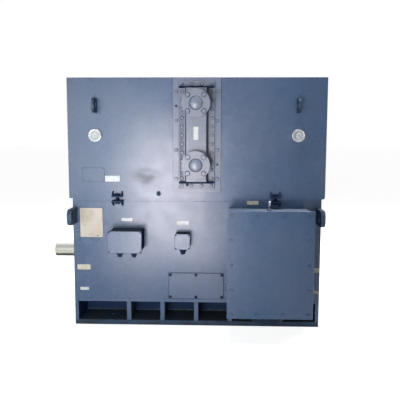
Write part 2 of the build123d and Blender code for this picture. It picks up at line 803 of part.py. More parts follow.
def shaft():
    """Stepped shaft: drive extension at the left, bearing seats, body and core seat, stub at the rear."""
    shoulder = -HALF_LENGTH - CAP_OUT
    tip = shoulder - SHAFT_END_LENGTH
    seat_in = HALF_LENGTH + BEARING_IN
    collar_in = seat_in - HUB_IN
    body = turned(
        [
            (tip, 0),
            (tip, SHAFT_END_D / 2 - SHAFT_CHAMFER),
            (tip + SHAFT_CHAMFER, SHAFT_END_D / 2),
            (shoulder, SHAFT_END_D / 2),
            (shoulder, SEAL_D / 2),
            (-HALF_LENGTH - BEARING_OUT, SEAL_D / 2),
            (-HALF_LENGTH - BEARING_OUT, BEARING_BORE / 2),
            (-seat_in, BEARING_BORE / 2),
            (-seat_in, COLLAR_D / 2),
            (-collar_in, COLLAR_D / 2),
            (-collar_in, SHAFT_BODY_D / 2),
            (-SHAFT_CORE_SEAT / 2, SHAFT_BODY_D / 2),
            (-SHAFT_CORE_SEAT / 2, SHAFT_CORE_D / 2),
            (SHAFT_CORE_SEAT / 2, SHAFT_CORE_D / 2),
            (SHAFT_CORE_SEAT / 2, SHAFT_BODY_D / 2),
            (collar_in, SHAFT_BODY_D / 2),
            (collar_in, COLLAR_D / 2),
            (seat_in, COLLAR_D / 2),
            (seat_in, BEARING_BORE / 2),
            (HALF_LENGTH + BEARING_OUT, BEARING_BORE / 2),
            (HALF_LENGTH + BEARING_OUT, SHAFT_END_D / 2),
            (HALF_LENGTH + REAR_STUB, SHAFT_END_D / 2),
            (HALF_LENGTH + REAR_STUB, 0),
        ]
    )
    middle = (tip + shoulder) / 2
    top = SHAFT_HEIGHT + SHAFT_END_D / 2
    outline = SlotOverall(KEYWAY_LENGTH, KEYWAY_WIDTH)
    keyway = extrude(Plane.XY.offset(top - KEYWAY_DEPTH) * Pos(middle, 0) * outline, SHAFT_END_D)
    return [body - keyway]


save("stator_core", stator_core())
save("stator_winding", stator_winding())
save("rotor_core", rotor_core())
save("rotor_cage", rotor_cage())
save("rotor_fan", rotor_fan())
save("shaft", shaft())
save("air_guide", [ring_wall(FAN_FRONT_X + FAN_GUIDE_GAP, GUIDE_T, GUIDE_EYE_D)])


# Cooler housing, tube bundle and water headers

def bundle_window(back, thickness):
    return front_plate(BUNDLE_X, BUNDLE_Z, WINDOW_WIDTH, WINDOW_HEIGHT, back, thickness)


def cooler_housing():
    half = COOLER_LENGTH / 2
    top = COOLER_TOP - COOLER_ROOF_T
    shell = block(-half, half, -COOLER_HALF, COOLER_HALF, FRAME_HEIGHT, top)
    inside = half - COOLER_WALL_T
    shell -= block(-inside, inside, -COOLER_INSIDE, COOLER_INSIDE, FRAME_HEIGHT + COOLER_FLANGE_T, top)
    mouth_x = half - COOLER_FLANGE_WIDTH
    mouth_y = COOLER_HALF - COOLER_FLANGE_WIDTH
    shell -= block(-mouth_x, mouth_x, -mouth_y, mouth_y, FRAME_HEIGHT, FRAME_HEIGHT + COOLER_FLANGE_T)
    for window in front_and_back(bundle_window(COOLER_INSIDE, COOLER_WALL_T)):
        shell -= window
    foot = shell.edges().filter_by(Axis.Y).sort_by(Axis.Z).group_by(Axis.Z)[0]
    return [chamfer(foot.sort_by(Axis.X)[-1], COOLER_CORNER_CUT)]


def cooler_roof():
    half = COOLER_LENGTH / 2
    return [block(-half, half, -COOLER_HALF, COOLER_HALF, COOLER_TOP - COOLER_ROOF_T, COOLER_TOP)]


def cooler_duct_plates():
    """Upright plates under and over the tube bundle, so that the air has to pass through it."""
    x0, x1 = BUNDLE_X - DUCT_PLATE_T / 2, BUNDLE_X + DUCT_PLATE_T / 2
    half = WINDOW_HEIGHT / 2 - SEAT
    mouth = COOLER_HALF - COOLER_FLANGE_WIDTH
    top = COOLER_TOP - COOLER_ROOF_T
    lower = block(x0, x1, -mouth, mouth, FRAME_HEIGHT, FRAME_HEIGHT + COOLER_FLANGE_T)
    lower += block(x0, x1, -COOLER_INSIDE, COOLER_INSIDE, FRAME_HEIGHT + COOLER_FLANGE_T, BUNDLE_Z - half)
    upper = block(x0, x1, -COOLER_INSIDE, COOLER_INSIDE, BUNDLE_Z + half, top)
    return [lower, upper]


def cooler_lifting_lugs():
    top = COOLER_TOP - COOLER_LUG_TOP_DROP
    sizes = (COOLER_LUG_REACH, top, COOLER_LUG_HEIGHT, COOLER_LUG_CORNER_R, COOLER_LUG_HOLE_D)
    outline = lug_outline(-COOLER_HALF, *sizes)
    x = -COOLER_LENGTH / 2 + COOLER_LUG_END_INSET
    lug = extrude(Plane.YZ.offset(x - COOLER_LUG_T / 2) * outline, COOLER_LUG_T)
    return left_and_right(front_and_back(lug))


def cooler_tubes():
    length = 2 * (COOLER_HALF - TUBE_SHEET_T)
    tube = Rot(90, 0, 0) * Cylinder(FIN_OD / 2, length)
    return [
        Pos(BUNDLE_X + x, 0, BUNDLE_Z + z) * tube
        for x in spread(TUBE_COLUMNS, TUBE_PITCH_X)
        for z in spread(TUBE_ROWS, TUBE_PITCH_Z)
    ]


def tube_sheets():
    width, height = WINDOW_WIDTH - 2 * SEAT, WINDOW_HEIGHT - 2 * SEAT
    sheet = front_plate(BUNDLE_X, BUNDLE_Z, width, height, COOLER_HALF - TUBE_SHEET_T, TUBE_SHEET_T)
    return front_and_back(sheet)


def end_plate():
    plate = front_plate(BUNDLE_X, BUNDLE_Z, END_PLATE_WIDTH, END_PLATE_HEIGHT, COOLER_HALF, END_PLATE_T)
    return plate - water_room(COOLER_HALF, END_PLATE_T)


def water_room(back, depth):
    """The straight-sided room that holds the water between a header's walls."""
    width, height = HEADER_WIDTH - 2 * HEADER_WALL_T, HEADER_HEIGHT - 2 * HEADER_WALL_T
    return front_plate(BUNDLE_X, BUNDLE_Z, width, height, back, depth)


def cooler_end_plate():
    """The front end plate, with two jack screw holes that push the bundle off its seat."""
    plate = end_plate()
    side, rise = END_PLATE_BOLT_SPAN / 2, END_PLATE_BOLT_PITCH
    for x, z in ((-side, rise), (side, -rise)):
        centre = Plane.XZ.offset(COOLER_HALF) * Pos(BUNDLE_X + x, BUNDLE_Z + z)
        plate -= extrude(centre * Circle(JACK_HOLE_D / 2), END_PLATE_T)
    return [plate]


def tapered_box(back, depth):
    """The hollow cast box of a water header, its four sides drafted towards the front."""
    centre = Pos(BUNDLE_X, BUNDLE_Z)
    foot = centre * Rectangle(HEADER_WIDTH + 2 * HEADER_DRAFT, HEADER_HEIGHT + 2 * HEADER_DRAFT)
    face = centre * Rectangle(HEADER_WIDTH, HEADER_HEIGHT)
    outside = loft([Plane.XZ.offset(back) * foot, Plane.XZ.offset(back + depth) * face])
    return outside - water_room(back, depth - HEADER_WALL_T)


FLANGE_ZS = [BUNDLE_Z + FLANGE_LIFT + z for z in spread(2, FLANGE_SPACING)]


def water_header():
    """Cast water box: bolting flange, drafted body, cross wall between the passes, ribs at both ends."""
    back, width, height = END_PLATE_FACE, HEADER_FLANGE_WIDTH, HEADER_FLANGE_HEIGHT
    header = front_plate(BUNDLE_X, BUNDLE_Z, width, height, back, HEADER_FLANGE_T)
    header -= water_room(back, HEADER_FLANGE_T)
    header += tapered_box(HEADER_FLANGE_FACE, HEADER_DEPTH)
    rib_z = HEADER_HEIGHT / 2 + HEADER_DRAFT - HEADER_RIB_T / 2
    for z in (BUNDLE_Z - rib_z, BUNDLE_Z + rib_z):
        foot = HEADER_FLANGE_FACE
        header += front_plate(BUNDLE_X, z, HEADER_RIB_WIDTH, HEADER_RIB_T, foot, HEADER_RIB_REACH)
    wall_width = HEADER_WIDTH - 2 * HEADER_WALL_T
    wall_depth = HEADER_FRONT - back - HEADER_WALL_T
    header += front_plate(BUNDLE_X, BUNDLE_Z, wall_width, HEADER_WALL_T, back, wall_depth)
    for z in FLANGE_ZS:
        bore = Plane.XZ.offset(HEADER_FRONT - HEADER_WALL_T) * Pos(BUNDLE_X, z) * Circle(PIPE_BORE / 2)
        header -= extrude(bore, HEADER_WALL_T)
    return [header]


def return_header():
    """Blind water box that turns the water round at the back of the bundle."""
    return [mirror(end_plate() + tapered_box(END_PLATE_FACE, RETURN_DEPTH), Plane.XZ)]


def bundle_heads(places, back):
    """Hexagon heads at places counted from the middle of the tube bundle."""
    return hex_heads([(BUNDLE_X + x, BUNDLE_Z + z) for x, z in places], back)


def cooler_bolts():
    """The heads round the water header and those along both end plates."""
    half = HEADER_BOLT_SPAN / 2
    header = [(x, z) for x in (-half, half) for z in spread(HEADER_BOLT_ROWS, HEADER_BOLT_PITCH)]
    row = spread(HEADER_END_BOLTS, HEADER_END_BOLT_PITCH)
    header += [(x, z) for x in row for z in (-HEADER_END_BOLT_Z, HEADER_END_BOLT_Z)]
    sides = (-END_PLATE_BOLT_SPAN / 2, END_PLATE_BOLT_SPAN / 2)
    rows = spread(END_PLATE_BOLT_ROWS, END_PLATE_BOLT_PITCH)
    plate = bundle_heads([(x, z) for x in sides for z in rows], END_PLATE_FACE)
    return bundle_heads(header, HEADER_FLANGE_FACE) + plate + [mirror(head, Plane.XZ) for head in plate]


def water_flanges():
    flanges = []
    for z in FLANGE_ZS:
        centre = Pos(BUNDLE_X, z)
        pipe = extrude(Plane.XZ.offset(HEADER_FRONT) * centre * Circle(PIPE_OD / 2), PIPE_LENGTH)
        places = PolarLocations(FLANGE_BOLT_CIRCLE_D / 2, FLANGE_HOLES, 180 / FLANGE_HOLES)
        disc = Circle(FLANGE_OD / 2) - places * Circle(FLANGE_HOLE_D / 2)
        flange = pipe + extrude(Plane.XZ.offset(HEADER_FRONT + PIPE_LENGTH) * centre * disc, FLANGE_T)
        bore = Plane.XZ.offset(HEADER_FRONT) * centre * Circle(PIPE_BORE / 2)
        flanges.append(flange - extrude(bore, PIPE_LENGTH + FLANGE_T))
    return flanges


def flange_plugs():
    """Domed shipping plugs, set a little way into the bores."""
    seat = FLANGE_FRONT - PLUG_SET_BACK
    rim_r = PIPE_BORE / 2 - SEAT
    dome_r = PLUG_DOME_D / 2
    top = PLUG_T + PLUG_DOME_H
    side = Polyline((0, top), (0, 0), (rim_r, 0), (rim_r, PLUG_T), (dome_r, PLUG_T))
    dome = RadiusArc((dome_r, PLUG_T), (0, top), -(dome_r**2 + PLUG_DOME_H**2) / (2 * PLUG_DOME_H))
    plug = revolve(Plane.XZ * make_face(side + dome), Axis.Z)
    return [Pos(BUNDLE_X, -seat, z) * Rot(90, 0, 0) * plug for z in FLANGE_ZS]


def cooler_clamps():
    """Pairs of gusseted lugs, one welded to the cooler and one to the frame, bolted together."""
    front = -CLAMP_FRONT
    half = CLAMP_WIDTH / 2
    tall = 2 * (CLAMP_OFFSET + CLAMP_PLATE_T)
    hole = Pos(-CLAMP_X, front + CLAMP_BOLT_OUT, FRAME_HEIGHT) * Cylinder(CLAMP_HOLE_D / 2, tall)
    pieces = []
    for up, wall in ((1, COOLER_HALF), (-1, HALF_WIDTH)):
        near = FRAME_HEIGHT + up * CLAMP_OFFSET
        far = near + up * CLAMP_PLATE_T
        tip = far + up * CLAMP_GUSSET_H
        lug = block(-CLAMP_X - half, -CLAMP_X + half, front, -wall, near, far) - hole
        outline = make_face(Polyline((front, far), (-wall, far), (-wall, tip), close=True))
        for x in (-CLAMP_X - half, -CLAMP_X + half - CLAMP_GUSSET_T):
            lug += extrude(Plane.YZ.offset(x) * outline, CLAMP_GUSSET_T)
        pieces += left_and_right(front_and_back(lug))
    return pieces


def clamp_bolts():
    y = -CLAMP_FRONT + CLAMP_BOLT_OUT
    top = FRAME_HEIGHT + CLAMP_OFFSET + CLAMP_PLATE_T
    bottom = FRAME_HEIGHT - CLAMP_OFFSET - CLAMP_PLATE_T
    nut = RegularPolygon(CLAMP_NUT_WIDTH / 2, 6, major_radius=False)
    place = Pos(-CLAMP_X, y)
    bolt = extrude(Plane.XY.offset(top) * place * nut, CLAMP_NUT_T)
    bolt += extrude(Plane.XY.offset(bottom - CLAMP_NUT_T) * place * nut, CLAMP_NUT_T)
    bolt += extrude(Plane.XY.offset(bottom) * place * Circle(CLAMP_BOLT_D / 2), top - bottom)
    return left_and_right(front_and_back(bolt))


def dial_thermometers():
    z = FRAME_HEIGHT + DIAL_ABOVE_FRAME
    dials = []
    for x in (-DIAL_X, DIAL_X):
        case = extrude(Plane.XZ.offset(COOLER_HALF) * Pos(x, z) * Circle(DIAL_D / 2), DIAL_DEPTH)
        face = Plane.XZ.offset(COOLER_HALF + DIAL_DEPTH - DIAL_FACE_DROP) * Pos(x, z)
        dials.append(case - extrude(face * Circle(DIAL_D / 2 - DIAL_RIM), DIAL_FACE_DROP))
    return dials


def drain_plugs():
    leak = [(LEAK_PLUG_X, FRAME_HEIGHT + LEAK_PLUG_ABOVE_FRAME)]
    drain = [(DRAIN_PLUG_X, BUNDLE_Z - DRAIN_PLUG_BELOW_BUNDLE)]
    plugs = hex_heads(leak, COOLER_HALF, LEAK_PLUG_D, PLUG_HEAD_T)
    return plugs + hex_heads(drain, HEADER_FLANGE_FACE, DRAIN_PLUG_D, PLUG_HEAD_T)


save("cooler_housing", cooler_housing())
save("cooler_roof", cooler_roof())
save("cooler_duct_plates", cooler_duct_plates())
save("cooler_lifting_lugs", cooler_lifting_lugs())
save("cooler_tubes", cooler_tubes())
save("tube_sheets", tube_sheets())
save("cooler_end_plate", cooler_end_plate())
save("water_header", water_header())
save("return_header", return_header())
save("cooler_bolts", cooler_bolts())
save("water_flanges", water_flanges())
save("flange_plugs", flange_plugs())
save("cooler_clamps", cooler_clamps())
save("clamp_bolts", clamp_bolts())
save("dial_thermometers", dial_thermometers())
save("drain_plugs", drain_plugs())


# Main terminal box on the front

def main_box_outline(lip, corner=0.0):
    width, height = MAIN_BOX_WIDTH - 2 * lip, MAIN_BOX_TOP - MAIN_BOX_BOTTOM - 2 * lip
    outline = RectangleRounded(width, height, corner) if corner else Rectangle(width, height)
    return Pos(MAIN_BOX_X, MAIN_BOX_Z) * outline


def main_box_room(inset, back, front):
    """The space within the terminal box's walls, its top falling towards the frame."""
    slope = MAIN_TOP_FALL / (MAIN_BODY_FRONT - HALF_WIDTH)
    bottom, top = MAIN_BODY_BOTTOM + inset, MAIN_BODY_TOP - inset
    corners = [(-out, top - slope * (MAIN_BODY_FRONT - out)) for out in (front, back)]
    outline = make_face(Polyline((-front, bottom), *corners, (-back, bottom), close=True))
    half = MAIN_BOX_WIDTH / 2 - MAIN_COVER_LIP - inset
    return extrude(Plane.YZ.offset(MAIN_BOX_X - half) * outline, 2 * half)


def terminal_box_body():
    """Sheet steel box: back plate, four walls, an inward rim for the cover bolts and an eye bolt pad."""
    pad_foot = MAIN_BODY_TOP - MAIN_TOP_FALL
    pad = Plane.XY.offset(pad_foot) * Pos(MAIN_BOX_X, -HALF_WIDTH - EYE_OUT) * Circle(EYE_PAD_D / 2)
    body = main_box_room(0, HALF_WIDTH, MAIN_BODY_FRONT)
    body += extrude(pad, EYE_SEAT - pad_foot)
    body -= main_box_room(MAIN_WALL_T, HALF_WIDTH + MAIN_WALL_T, MAIN_BODY_FRONT - MAIN_RIM_T)
    mouth = Plane.XZ.offset(MAIN_BODY_FRONT - MAIN_RIM_T) * main_box_outline(MAIN_COVER_LIP + MAIN_RIM_WIDTH)
    body -= extrude(mouth, MAIN_RIM_T)
    lead_width, lead_height = LEAD_OPENING_WIDTH, LEAD_OPENING_HEIGHT
    body -= front_plate(MAIN_BOX_X, LEAD_OPENING_Z, lead_width, lead_height, HALF_WIDTH, MAIN_WALL_T)
    entry = Plane.XY.offset(MAIN_BODY_BOTTOM) * Pos(MAIN_BOX_X, -HALF_WIDTH - ENTRY_OUT)
    body -= extrude(entry * Circle(ENTRY_NECK_D / 2 - ENTRY_NECK_WALL), MAIN_WALL_T)
    return [body]


def terminal_box_gasket():
    outline = main_box_outline(MAIN_COVER_LIP) - main_box_outline(MAIN_COVER_LIP + MAIN_RIM_WIDTH)
    return [extrude(Plane.XZ.offset(MAIN_BODY_FRONT) * outline, MAIN_GASKET_T)]


def terminal_box_cover():
    outline = main_box_outline(0, MAIN_COVER_CORNER_R)
    return [extrude(Plane.XZ.offset(MAIN_COVER_BACK) * outline, MAIN_COVER_T)]


def terminal_cover_bolts():
    width = MAIN_BOX_WIDTH - 2 * MAIN_BOLT_EDGE
    height = MAIN_BOX_TOP - MAIN_BOX_BOTTOM - 2 * MAIN_BOLT_EDGE
    columns = spread(MAIN_BOLT_COLUMNS, width / (MAIN_BOLT_COLUMNS - 1))
    rows = spread(MAIN_BOLT_ROWS, height / (MAIN_BOLT_ROWS - 1))
    edge = [(x, z) for x in (columns[0], columns[-1]) for z in rows]
    edge += [(x, z) for x in columns[1:-1] for z in (rows[0], rows[-1])]
    places = [(MAIN_BOX_X + x, MAIN_BOX_Z + z) for x, z in edge]
    return hex_heads(places, HALF_WIDTH + MAIN_BOX_DEPTH)


def along_front(points, x, z, back):
    """A body turned about a line that points to the front, from points of radius and distance out."""
    body = revolve(Plane.XZ * make_face(Polyline(*points, close=True)), Axis.Z)
    return Pos(x, -back, z) * Rot(90, 0, 0) * body


def terminal_insulators():
    """Post insulators with sheds, one for each phase."""
    points = [(0, 0), (INSULATOR_D / 2, 0)]
    pitch = INSULATOR_LENGTH / (INSULATOR_SHEDS + 1)
    for i in range(INSULATOR_SHEDS):
        middle = (i + 1) * pitch
        points.append((INSULATOR_D / 2, middle - INSULATOR_SHED_T / 2))
        points.append((INSULATOR_SHED_D / 2, middle))
        points.append((INSULATOR_D / 2, middle + INSULATOR_SHED_T / 2))
    points += [(INSULATOR_D / 2, INSULATOR_LENGTH), (0, INSULATOR_LENGTH)]
    back = HALF_WIDTH + MAIN_WALL_T
    return [along_front(points, MAIN_BOX_X + x, INSULATOR_Z, back) for x in spread(3, INSULATOR_PITCH)]


def terminal_studs():
    """Copper studs with a nut at the foot, one on each insulator."""
    back = HALF_WIDTH + MAIN_WALL_T + INSULATOR_LENGTH
    nut = RegularPolygon(STUD_NUT_WIDTH / 2, 6, major_radius=False)
    studs = []
    for x in spread(3, INSULATOR_PITCH):
        centre = Pos(MAIN_BOX_X + x, INSULATOR_Z)
        stud = extrude(Plane.XZ.offset(back) * centre * Circle(STUD_D / 2), STUD_LENGTH)
        studs.append(stud + extrude(Plane.XZ.offset(back) * centre * nut, STUD_NUT_T))
    return studs


def cable_entry():
    """Round neck bolted under the box, with a ring at its foot that closes round the cable."""
    top = MAIN_BODY_BOTTOM
    foot = top - ENTRY_LENGTH
    inner_r = ENTRY_NECK_D / 2 - ENTRY_NECK_WALL
    points = [
        (ENTRY_BORE / 2, foot),
        (ENTRY_NECK_D / 2, foot),
        (ENTRY_NECK_D / 2, top - ENTRY_FLANGE_T),
        (ENTRY_FLANGE_D / 2, top - ENTRY_FLANGE_T),
        (ENTRY_FLANGE_D / 2, top),
        (inner_r, top),
        (inner_r, foot + ENTRY_RING_T),
        (ENTRY_BORE / 2, foot + ENTRY_RING_T),
    ]
    neck = revolve(Plane.XZ * make_face(Polyline(*points, close=True)), Axis.Z)
    return [Pos(MAIN_BOX_X, -HALF_WIDTH - ENTRY_OUT, 0) * neck]


def terminal_eye_bolt():
    """Forged eye on a round collar, its ring standing across the box."""
    foot = EYE_SEAT + EYE_COLLAR_T
    centre = Pos(-HALF_WIDTH - EYE_OUT, foot + EYE_OD / 2)
    stem = Pos(-HALF_WIDTH - EYE_OUT, foot + EYE_T / 2) * Rectangle(EYE_STEM_WIDTH, EYE_T)
    outline = centre * Circle(EYE_OD / 2) + stem - centre * Circle(EYE_HOLE_D / 2)
    ring = extrude(Plane.YZ.offset(MAIN_BOX_X - EYE_T / 2) * outline, EYE_T)
    collar = Pos(MAIN_BOX_X, -HALF_WIDTH - EYE_OUT, foot - EYE_COLLAR_T / 2)
    return [ring + collar * Cylinder(EYE_COLLAR_D / 2, EYE_COLLAR_T)]


save("terminal_box_body", terminal_box_body())
save("terminal_box_gasket", terminal_box_gasket())
save("terminal_box_cover", terminal_box_cover())
save("terminal_cover_bolts", terminal_cover_bolts())
save("terminal_insulators", terminal_insulators())
save("terminal_studs", terminal_studs())
save("cable_entry", cable_entry())
save("terminal_eye_bolt", terminal_eye_bolt())


# Auxiliary boxes, glands and blank plates

AUX_BOX = (AUX_BOX_X, AUX_BOX_Z, AUX_BOX_WIDTH, AUX_BOX_HEIGHT, AUX_BOX_DEPTH)
SMALL_BOX = (SMALL_BOX_X, SMALL_BOX_Z, SMALL_BOX_WIDTH, SMALL_BOX_HEIGHT, SMALL_BOX_DEPTH)


def aux_box_body(x, z, width, height, depth):
    """Cast box, open to the front, with its cable side down."""
    body_depth = depth - AUX_LID_T
    outer = (width - 2 * AUX_LIP, height - 2 * AUX_LIP)
    room = (outer[0] - 2 * AUX_WALL_T, outer[1] - 2 * AUX_WALL_T)
    body = front_plate(x, z, *outer, HALF_WIDTH, body_depth, AUX_CORNER_R)
    return body - front_plate(x, z, *room, HALF_WIDTH + AUX_WALL_T, body_depth - AUX_WALL_T)


def aux_box_lid(x, z, width, height, depth):
    return front_plate(x, z, width, height, HALF_WIDTH + depth - AUX_LID_T, AUX_LID_T, AUX_CORNER_R)


def gland(x, z, depth):
    """Cable gland under a box: hexagon body and round cap with the cable hole through both."""
    centre = Pos(x, -HALF_WIDTH - (depth - AUX_LID_T) / 2)
    nut = RegularPolygon(GLAND_NUT_WIDTH / 2, 6, major_radius=False)
    body = extrude(Plane.XY.offset(z - GLAND_NUT_T) * centre * nut, GLAND_NUT_T)
    cap_foot = z - GLAND_NUT_T - GLAND_CAP_T
    body += extrude(Plane.XY.offset(cap_foot) * centre * Circle(GLAND_CAP_D / 2), GLAND_CAP_T)
    hole = Plane.XY.offset(cap_foot) * centre * Circle(GLAND_BORE / 2)
    return body - extrude(hole, GLAND_NUT_T + GLAND_CAP_T)


def cable_glands():
    aux_foot = AUX_BOX_Z - AUX_BOX_HEIGHT / 2 + AUX_LIP
    small_foot = SMALL_BOX_Z - SMALL_BOX_HEIGHT / 2 + AUX_LIP
    glands = [gland(AUX_BOX_X + x, aux_foot, AUX_BOX_DEPTH) for x in spread(2, AUX_GLAND_PITCH)]
    return glands + [gland(SMALL_BOX_X, small_foot, SMALL_BOX_DEPTH)]


def nameplate():
    x = -HALF_LENGTH + NAMEPLATE_END_INSET
    z = FRAME_HEIGHT - NAMEPLATE_TOP_DROP
    return [front_plate(x, z, NAMEPLATE_WIDTH, NAMEPLATE_HEIGHT, HALF_WIDTH, PLATE_T)]


save("aux_box_bodies", [aux_box_body(*AUX_BOX), aux_box_body(*SMALL_BOX)])
save("aux_box_lids", [aux_box_lid(*AUX_BOX), aux_box_lid(*SMALL_BOX)])
save("cable_glands", cable_glands())
save("nameplate", nameplate())
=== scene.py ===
import math
import random
import bmesh
import bpy
from mathutils import Matrix, Vector


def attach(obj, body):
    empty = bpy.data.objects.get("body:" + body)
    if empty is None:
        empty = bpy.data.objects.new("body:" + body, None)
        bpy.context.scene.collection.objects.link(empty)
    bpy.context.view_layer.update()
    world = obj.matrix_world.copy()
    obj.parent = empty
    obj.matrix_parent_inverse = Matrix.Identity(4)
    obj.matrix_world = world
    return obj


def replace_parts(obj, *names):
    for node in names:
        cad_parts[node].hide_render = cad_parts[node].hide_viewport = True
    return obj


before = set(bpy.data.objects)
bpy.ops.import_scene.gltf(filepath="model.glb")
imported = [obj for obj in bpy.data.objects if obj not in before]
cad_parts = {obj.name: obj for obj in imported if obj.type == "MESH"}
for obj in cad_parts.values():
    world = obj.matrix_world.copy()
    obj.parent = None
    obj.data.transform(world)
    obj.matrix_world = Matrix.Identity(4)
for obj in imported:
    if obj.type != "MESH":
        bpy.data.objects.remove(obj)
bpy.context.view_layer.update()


# Studio: a pale floor that runs out to a white surround, a soft lamp beside the camera, a wider
# one to its left, a low one and a high one, and two behind the motor for its ends, back and top.

scene = bpy.context.scene
scene.view_settings.view_transform = "Standard"

camera = bpy.data.objects.new("camera", bpy.data.cameras.new("camera"))
scene.collection.objects.link(camera)
camera.data.sensor_width = 36.0
camera.data.lens = 50.571
pan = Matrix.Rotation(math.radians(1.966), 4, "Z")
tilt = Matrix.Rotation(math.radians(83.358), 4, "X")
roll = Matrix.Rotation(math.radians(0.129), 4, "Z")
camera.matrix_world = Matrix.Translation((0.1611, -4.4365, 1.3669)) @ (pan @ tilt) @ roll
scene.camera = camera


def soft_lamp(name, place, aim, width, height, power, spread=180.0, tint=(1.0, 1.0, 1.0)):
    """A soft box that looks from its place to the point it is aimed at, its light held in by a grid."""
    data = bpy.data.lights.new(name, "AREA")
    data.shape = "RECTANGLE"
    data.size = width
    data.size_y = height
    data.energy = power
    data.color = tint
    data.spread = math.radians(spread)
    lamp = bpy.data.objects.new(name, data)
    lamp.visible_camera = False
    scene.collection.objects.link(lamp)
    facing = (Vector(aim) - Vector(place)).to_track_quat("-Z", "Y")
    lamp.matrix_world = Matrix.Translation(place) @ facing.to_matrix().to_4x4()


soft_lamp(
    "lamp_beside_camera", (-0.52, -4.30, 0.66), (-0.60, -0.53, 1.50),
    width=0.90, height=1.5, power=18.0, spread=72.0, tint=(1.0, 0.925, 0.95),
)
soft_lamp(
    "lamp_left", (-1.70, -4.10, 1.30), (-0.70, -0.53, 1.65),
    width=2.2, height=1.8, power=6.8, spread=80.0, tint=(0.90, 1.0, 0.97),
)
soft_lamp(
    "lamp_low", (-0.40, -2.70, 0.14), (-0.40, -0.52, 0.50),
    width=1.2, height=0.28, power=1.4, spread=70.0, tint=(1.0, 0.95, 0.985),
)
soft_lamp(
    "lamp_above", (0.50, -0.84, 3.20), (0.50, -0.74, 0.87),
    width=1.2, height=0.3, power=6.0, spread=70.0,
)
for side, name in ((-1, "lamp_behind_left"), (1, "lamp_behind_right")):
    soft_lamp(name, (side * 3.0, 2.6, 3.2), (0.0, 0.0, 1.0), width=2.2, height=2.2, power=190.0)


def seen_directly(nodes):
    """A mask of the rays that come from the camera, a mirror or through glass."""
    path = nodes.new("ShaderNodeLightPath")
    first = nodes.new("ShaderNodeMath")
    first.operation = "MAXIMUM"
    second = nodes.new("ShaderNodeMath")
    second.operation = "MAXIMUM"
    tree = path.id_data
    tree.links.new(path.outputs["Is Camera Ray"], first.inputs[0])
    tree.links.new(path.outputs["Is Glossy Ray"], first.inputs[1])
    tree.links.new(first.outputs[0], second.inputs[0])
    tree.links.new(path.outputs["Is Transmission Ray"], second.inputs[1])
    return second.outputs[0]


world = bpy.data.worlds.new("surround")
scene.world = world
world.use_nodes = True
sky = world.node_tree.nodes
sky.clear()
dim = sky.new("ShaderNodeBackground")
dim.inputs["Color"].default_value = (0.92, 0.95, 1.0, 1.0)
dim.inputs["Strength"].default_value = 0.06
white = sky.new("ShaderNodeBackground")
white.inputs["Strength"].default_value = 1.0
white.inputs["Color"].default_value = (1.0, 1.0, 1.0, 1.0)
choice = sky.new("ShaderNodeMixShader")
out = sky.new("ShaderNodeOutputWorld")
world.node_tree.links.new(seen_directly(sky), choice.inputs[0])
world.node_tree.links.new(dim.outputs[0], choice.inputs[1])
world.node_tree.links.new(white.outputs[0], choice.inputs[2])
world.node_tree.links.new(choice.outputs[0], out.inputs["Surface"])

ground = bmesh.new()
bmesh.ops.create_circle(ground, cap_ends=True, segments=64, radius=60.0)
ground_mesh = bpy.data.meshes.new("studio_floor")
ground.to_mesh(ground_mesh)
ground.free()
floor = bpy.data.objects.new("studio_floor", ground_mesh)
scene.collection.objects.link(floor)
pale = bpy.data.materials.new("pale_floor")
pale.use_nodes = True
floor_nodes = pale.node_tree.nodes
floor_shader = floor_nodes["Principled BSDF"]
floor_shader.inputs["Base Color"].default_value = (0.60, 0.60, 0.60, 1.0)
floor_shader.inputs["Roughness"].default_value = 0.9
floor_shader.inputs["Specular IOR Level"].default_value = 0.1
glow = floor_nodes.new("ShaderNodeMath")
glow.operation = "MULTIPLY"
glow.inputs[1].default_value = 0.90
pale.node_tree.links.new(seen_directly(floor_nodes), glow.inputs[0])
floor_shader.inputs["Emission Color"].default_value = (1.0, 1.0, 1.0, 1.0)
pale.node_tree.links.new(glow.outputs[0], floor_shader.inputs["Emission Strength"])
ground_mesh.materials.append(pale)


# Foot: two thick steel rails on the floor, upright ribs that part the foot into open pockets,
# and the plates that close the pockets. All welded together and sprayed with slate enamel.

SLATE = (64, 93, 129)


def paint_tone(red, green, blue):
    """A colour as it is read off a colour card, made ready for a shader."""
    def level(value):
        value /= 255.0
        return value / 12.92 if value <= 0.04045 else ((value + 0.055) / 1.055) ** 2.4
    return (level(red), level(green), level(blue), 1.0)


def effect(name, takes):
    """Starts a node group and gives it with its named inputs and the place on the motor."""
    tree = bpy.data.node_groups.new(name, "ShaderNodeTree")
    for socket, kind, value in takes:
        made = tree.interface.new_socket(name=socket, in_out="INPUT", socket_type=kind)
        made.default_value = value
    for socket, kind in (("Color", "Color"), ("Roughness", "Float"), ("Height", "Float")):
        tree.interface.new_socket(name=socket, in_out="OUTPUT", socket_type="NodeSocket" + kind)
    given = tree.nodes.new("NodeGroupInput").outputs
    where = tree.nodes.new("ShaderNodeTexCoord").outputs["Object"]
    return tree, given, where


def close_effect(tree, colour, rough, height):
    """Joins the three results of an effect to its outputs."""
    result = tree.nodes.new("NodeGroupOutput").inputs
    tree.links.new(colour, result["Color"])
    tree.links.new(rough, result["Roughness"])
    tree.links.new(height, result["Height"])
    return tree


def add_node(tree, kind, links=(), **settings):
    """A node with its settings made and its inputs joined or given values."""
    node = tree.nodes.new(kind)
    for key, value in settings.items():
        setattr(node, key, value)
    for key, value in dict(links).items():
        if isinstance(value, bpy.types.NodeSocket):
            tree.links.new(value, node.inputs[key])
        else:
            node.inputs[key].default_value = value
    return node


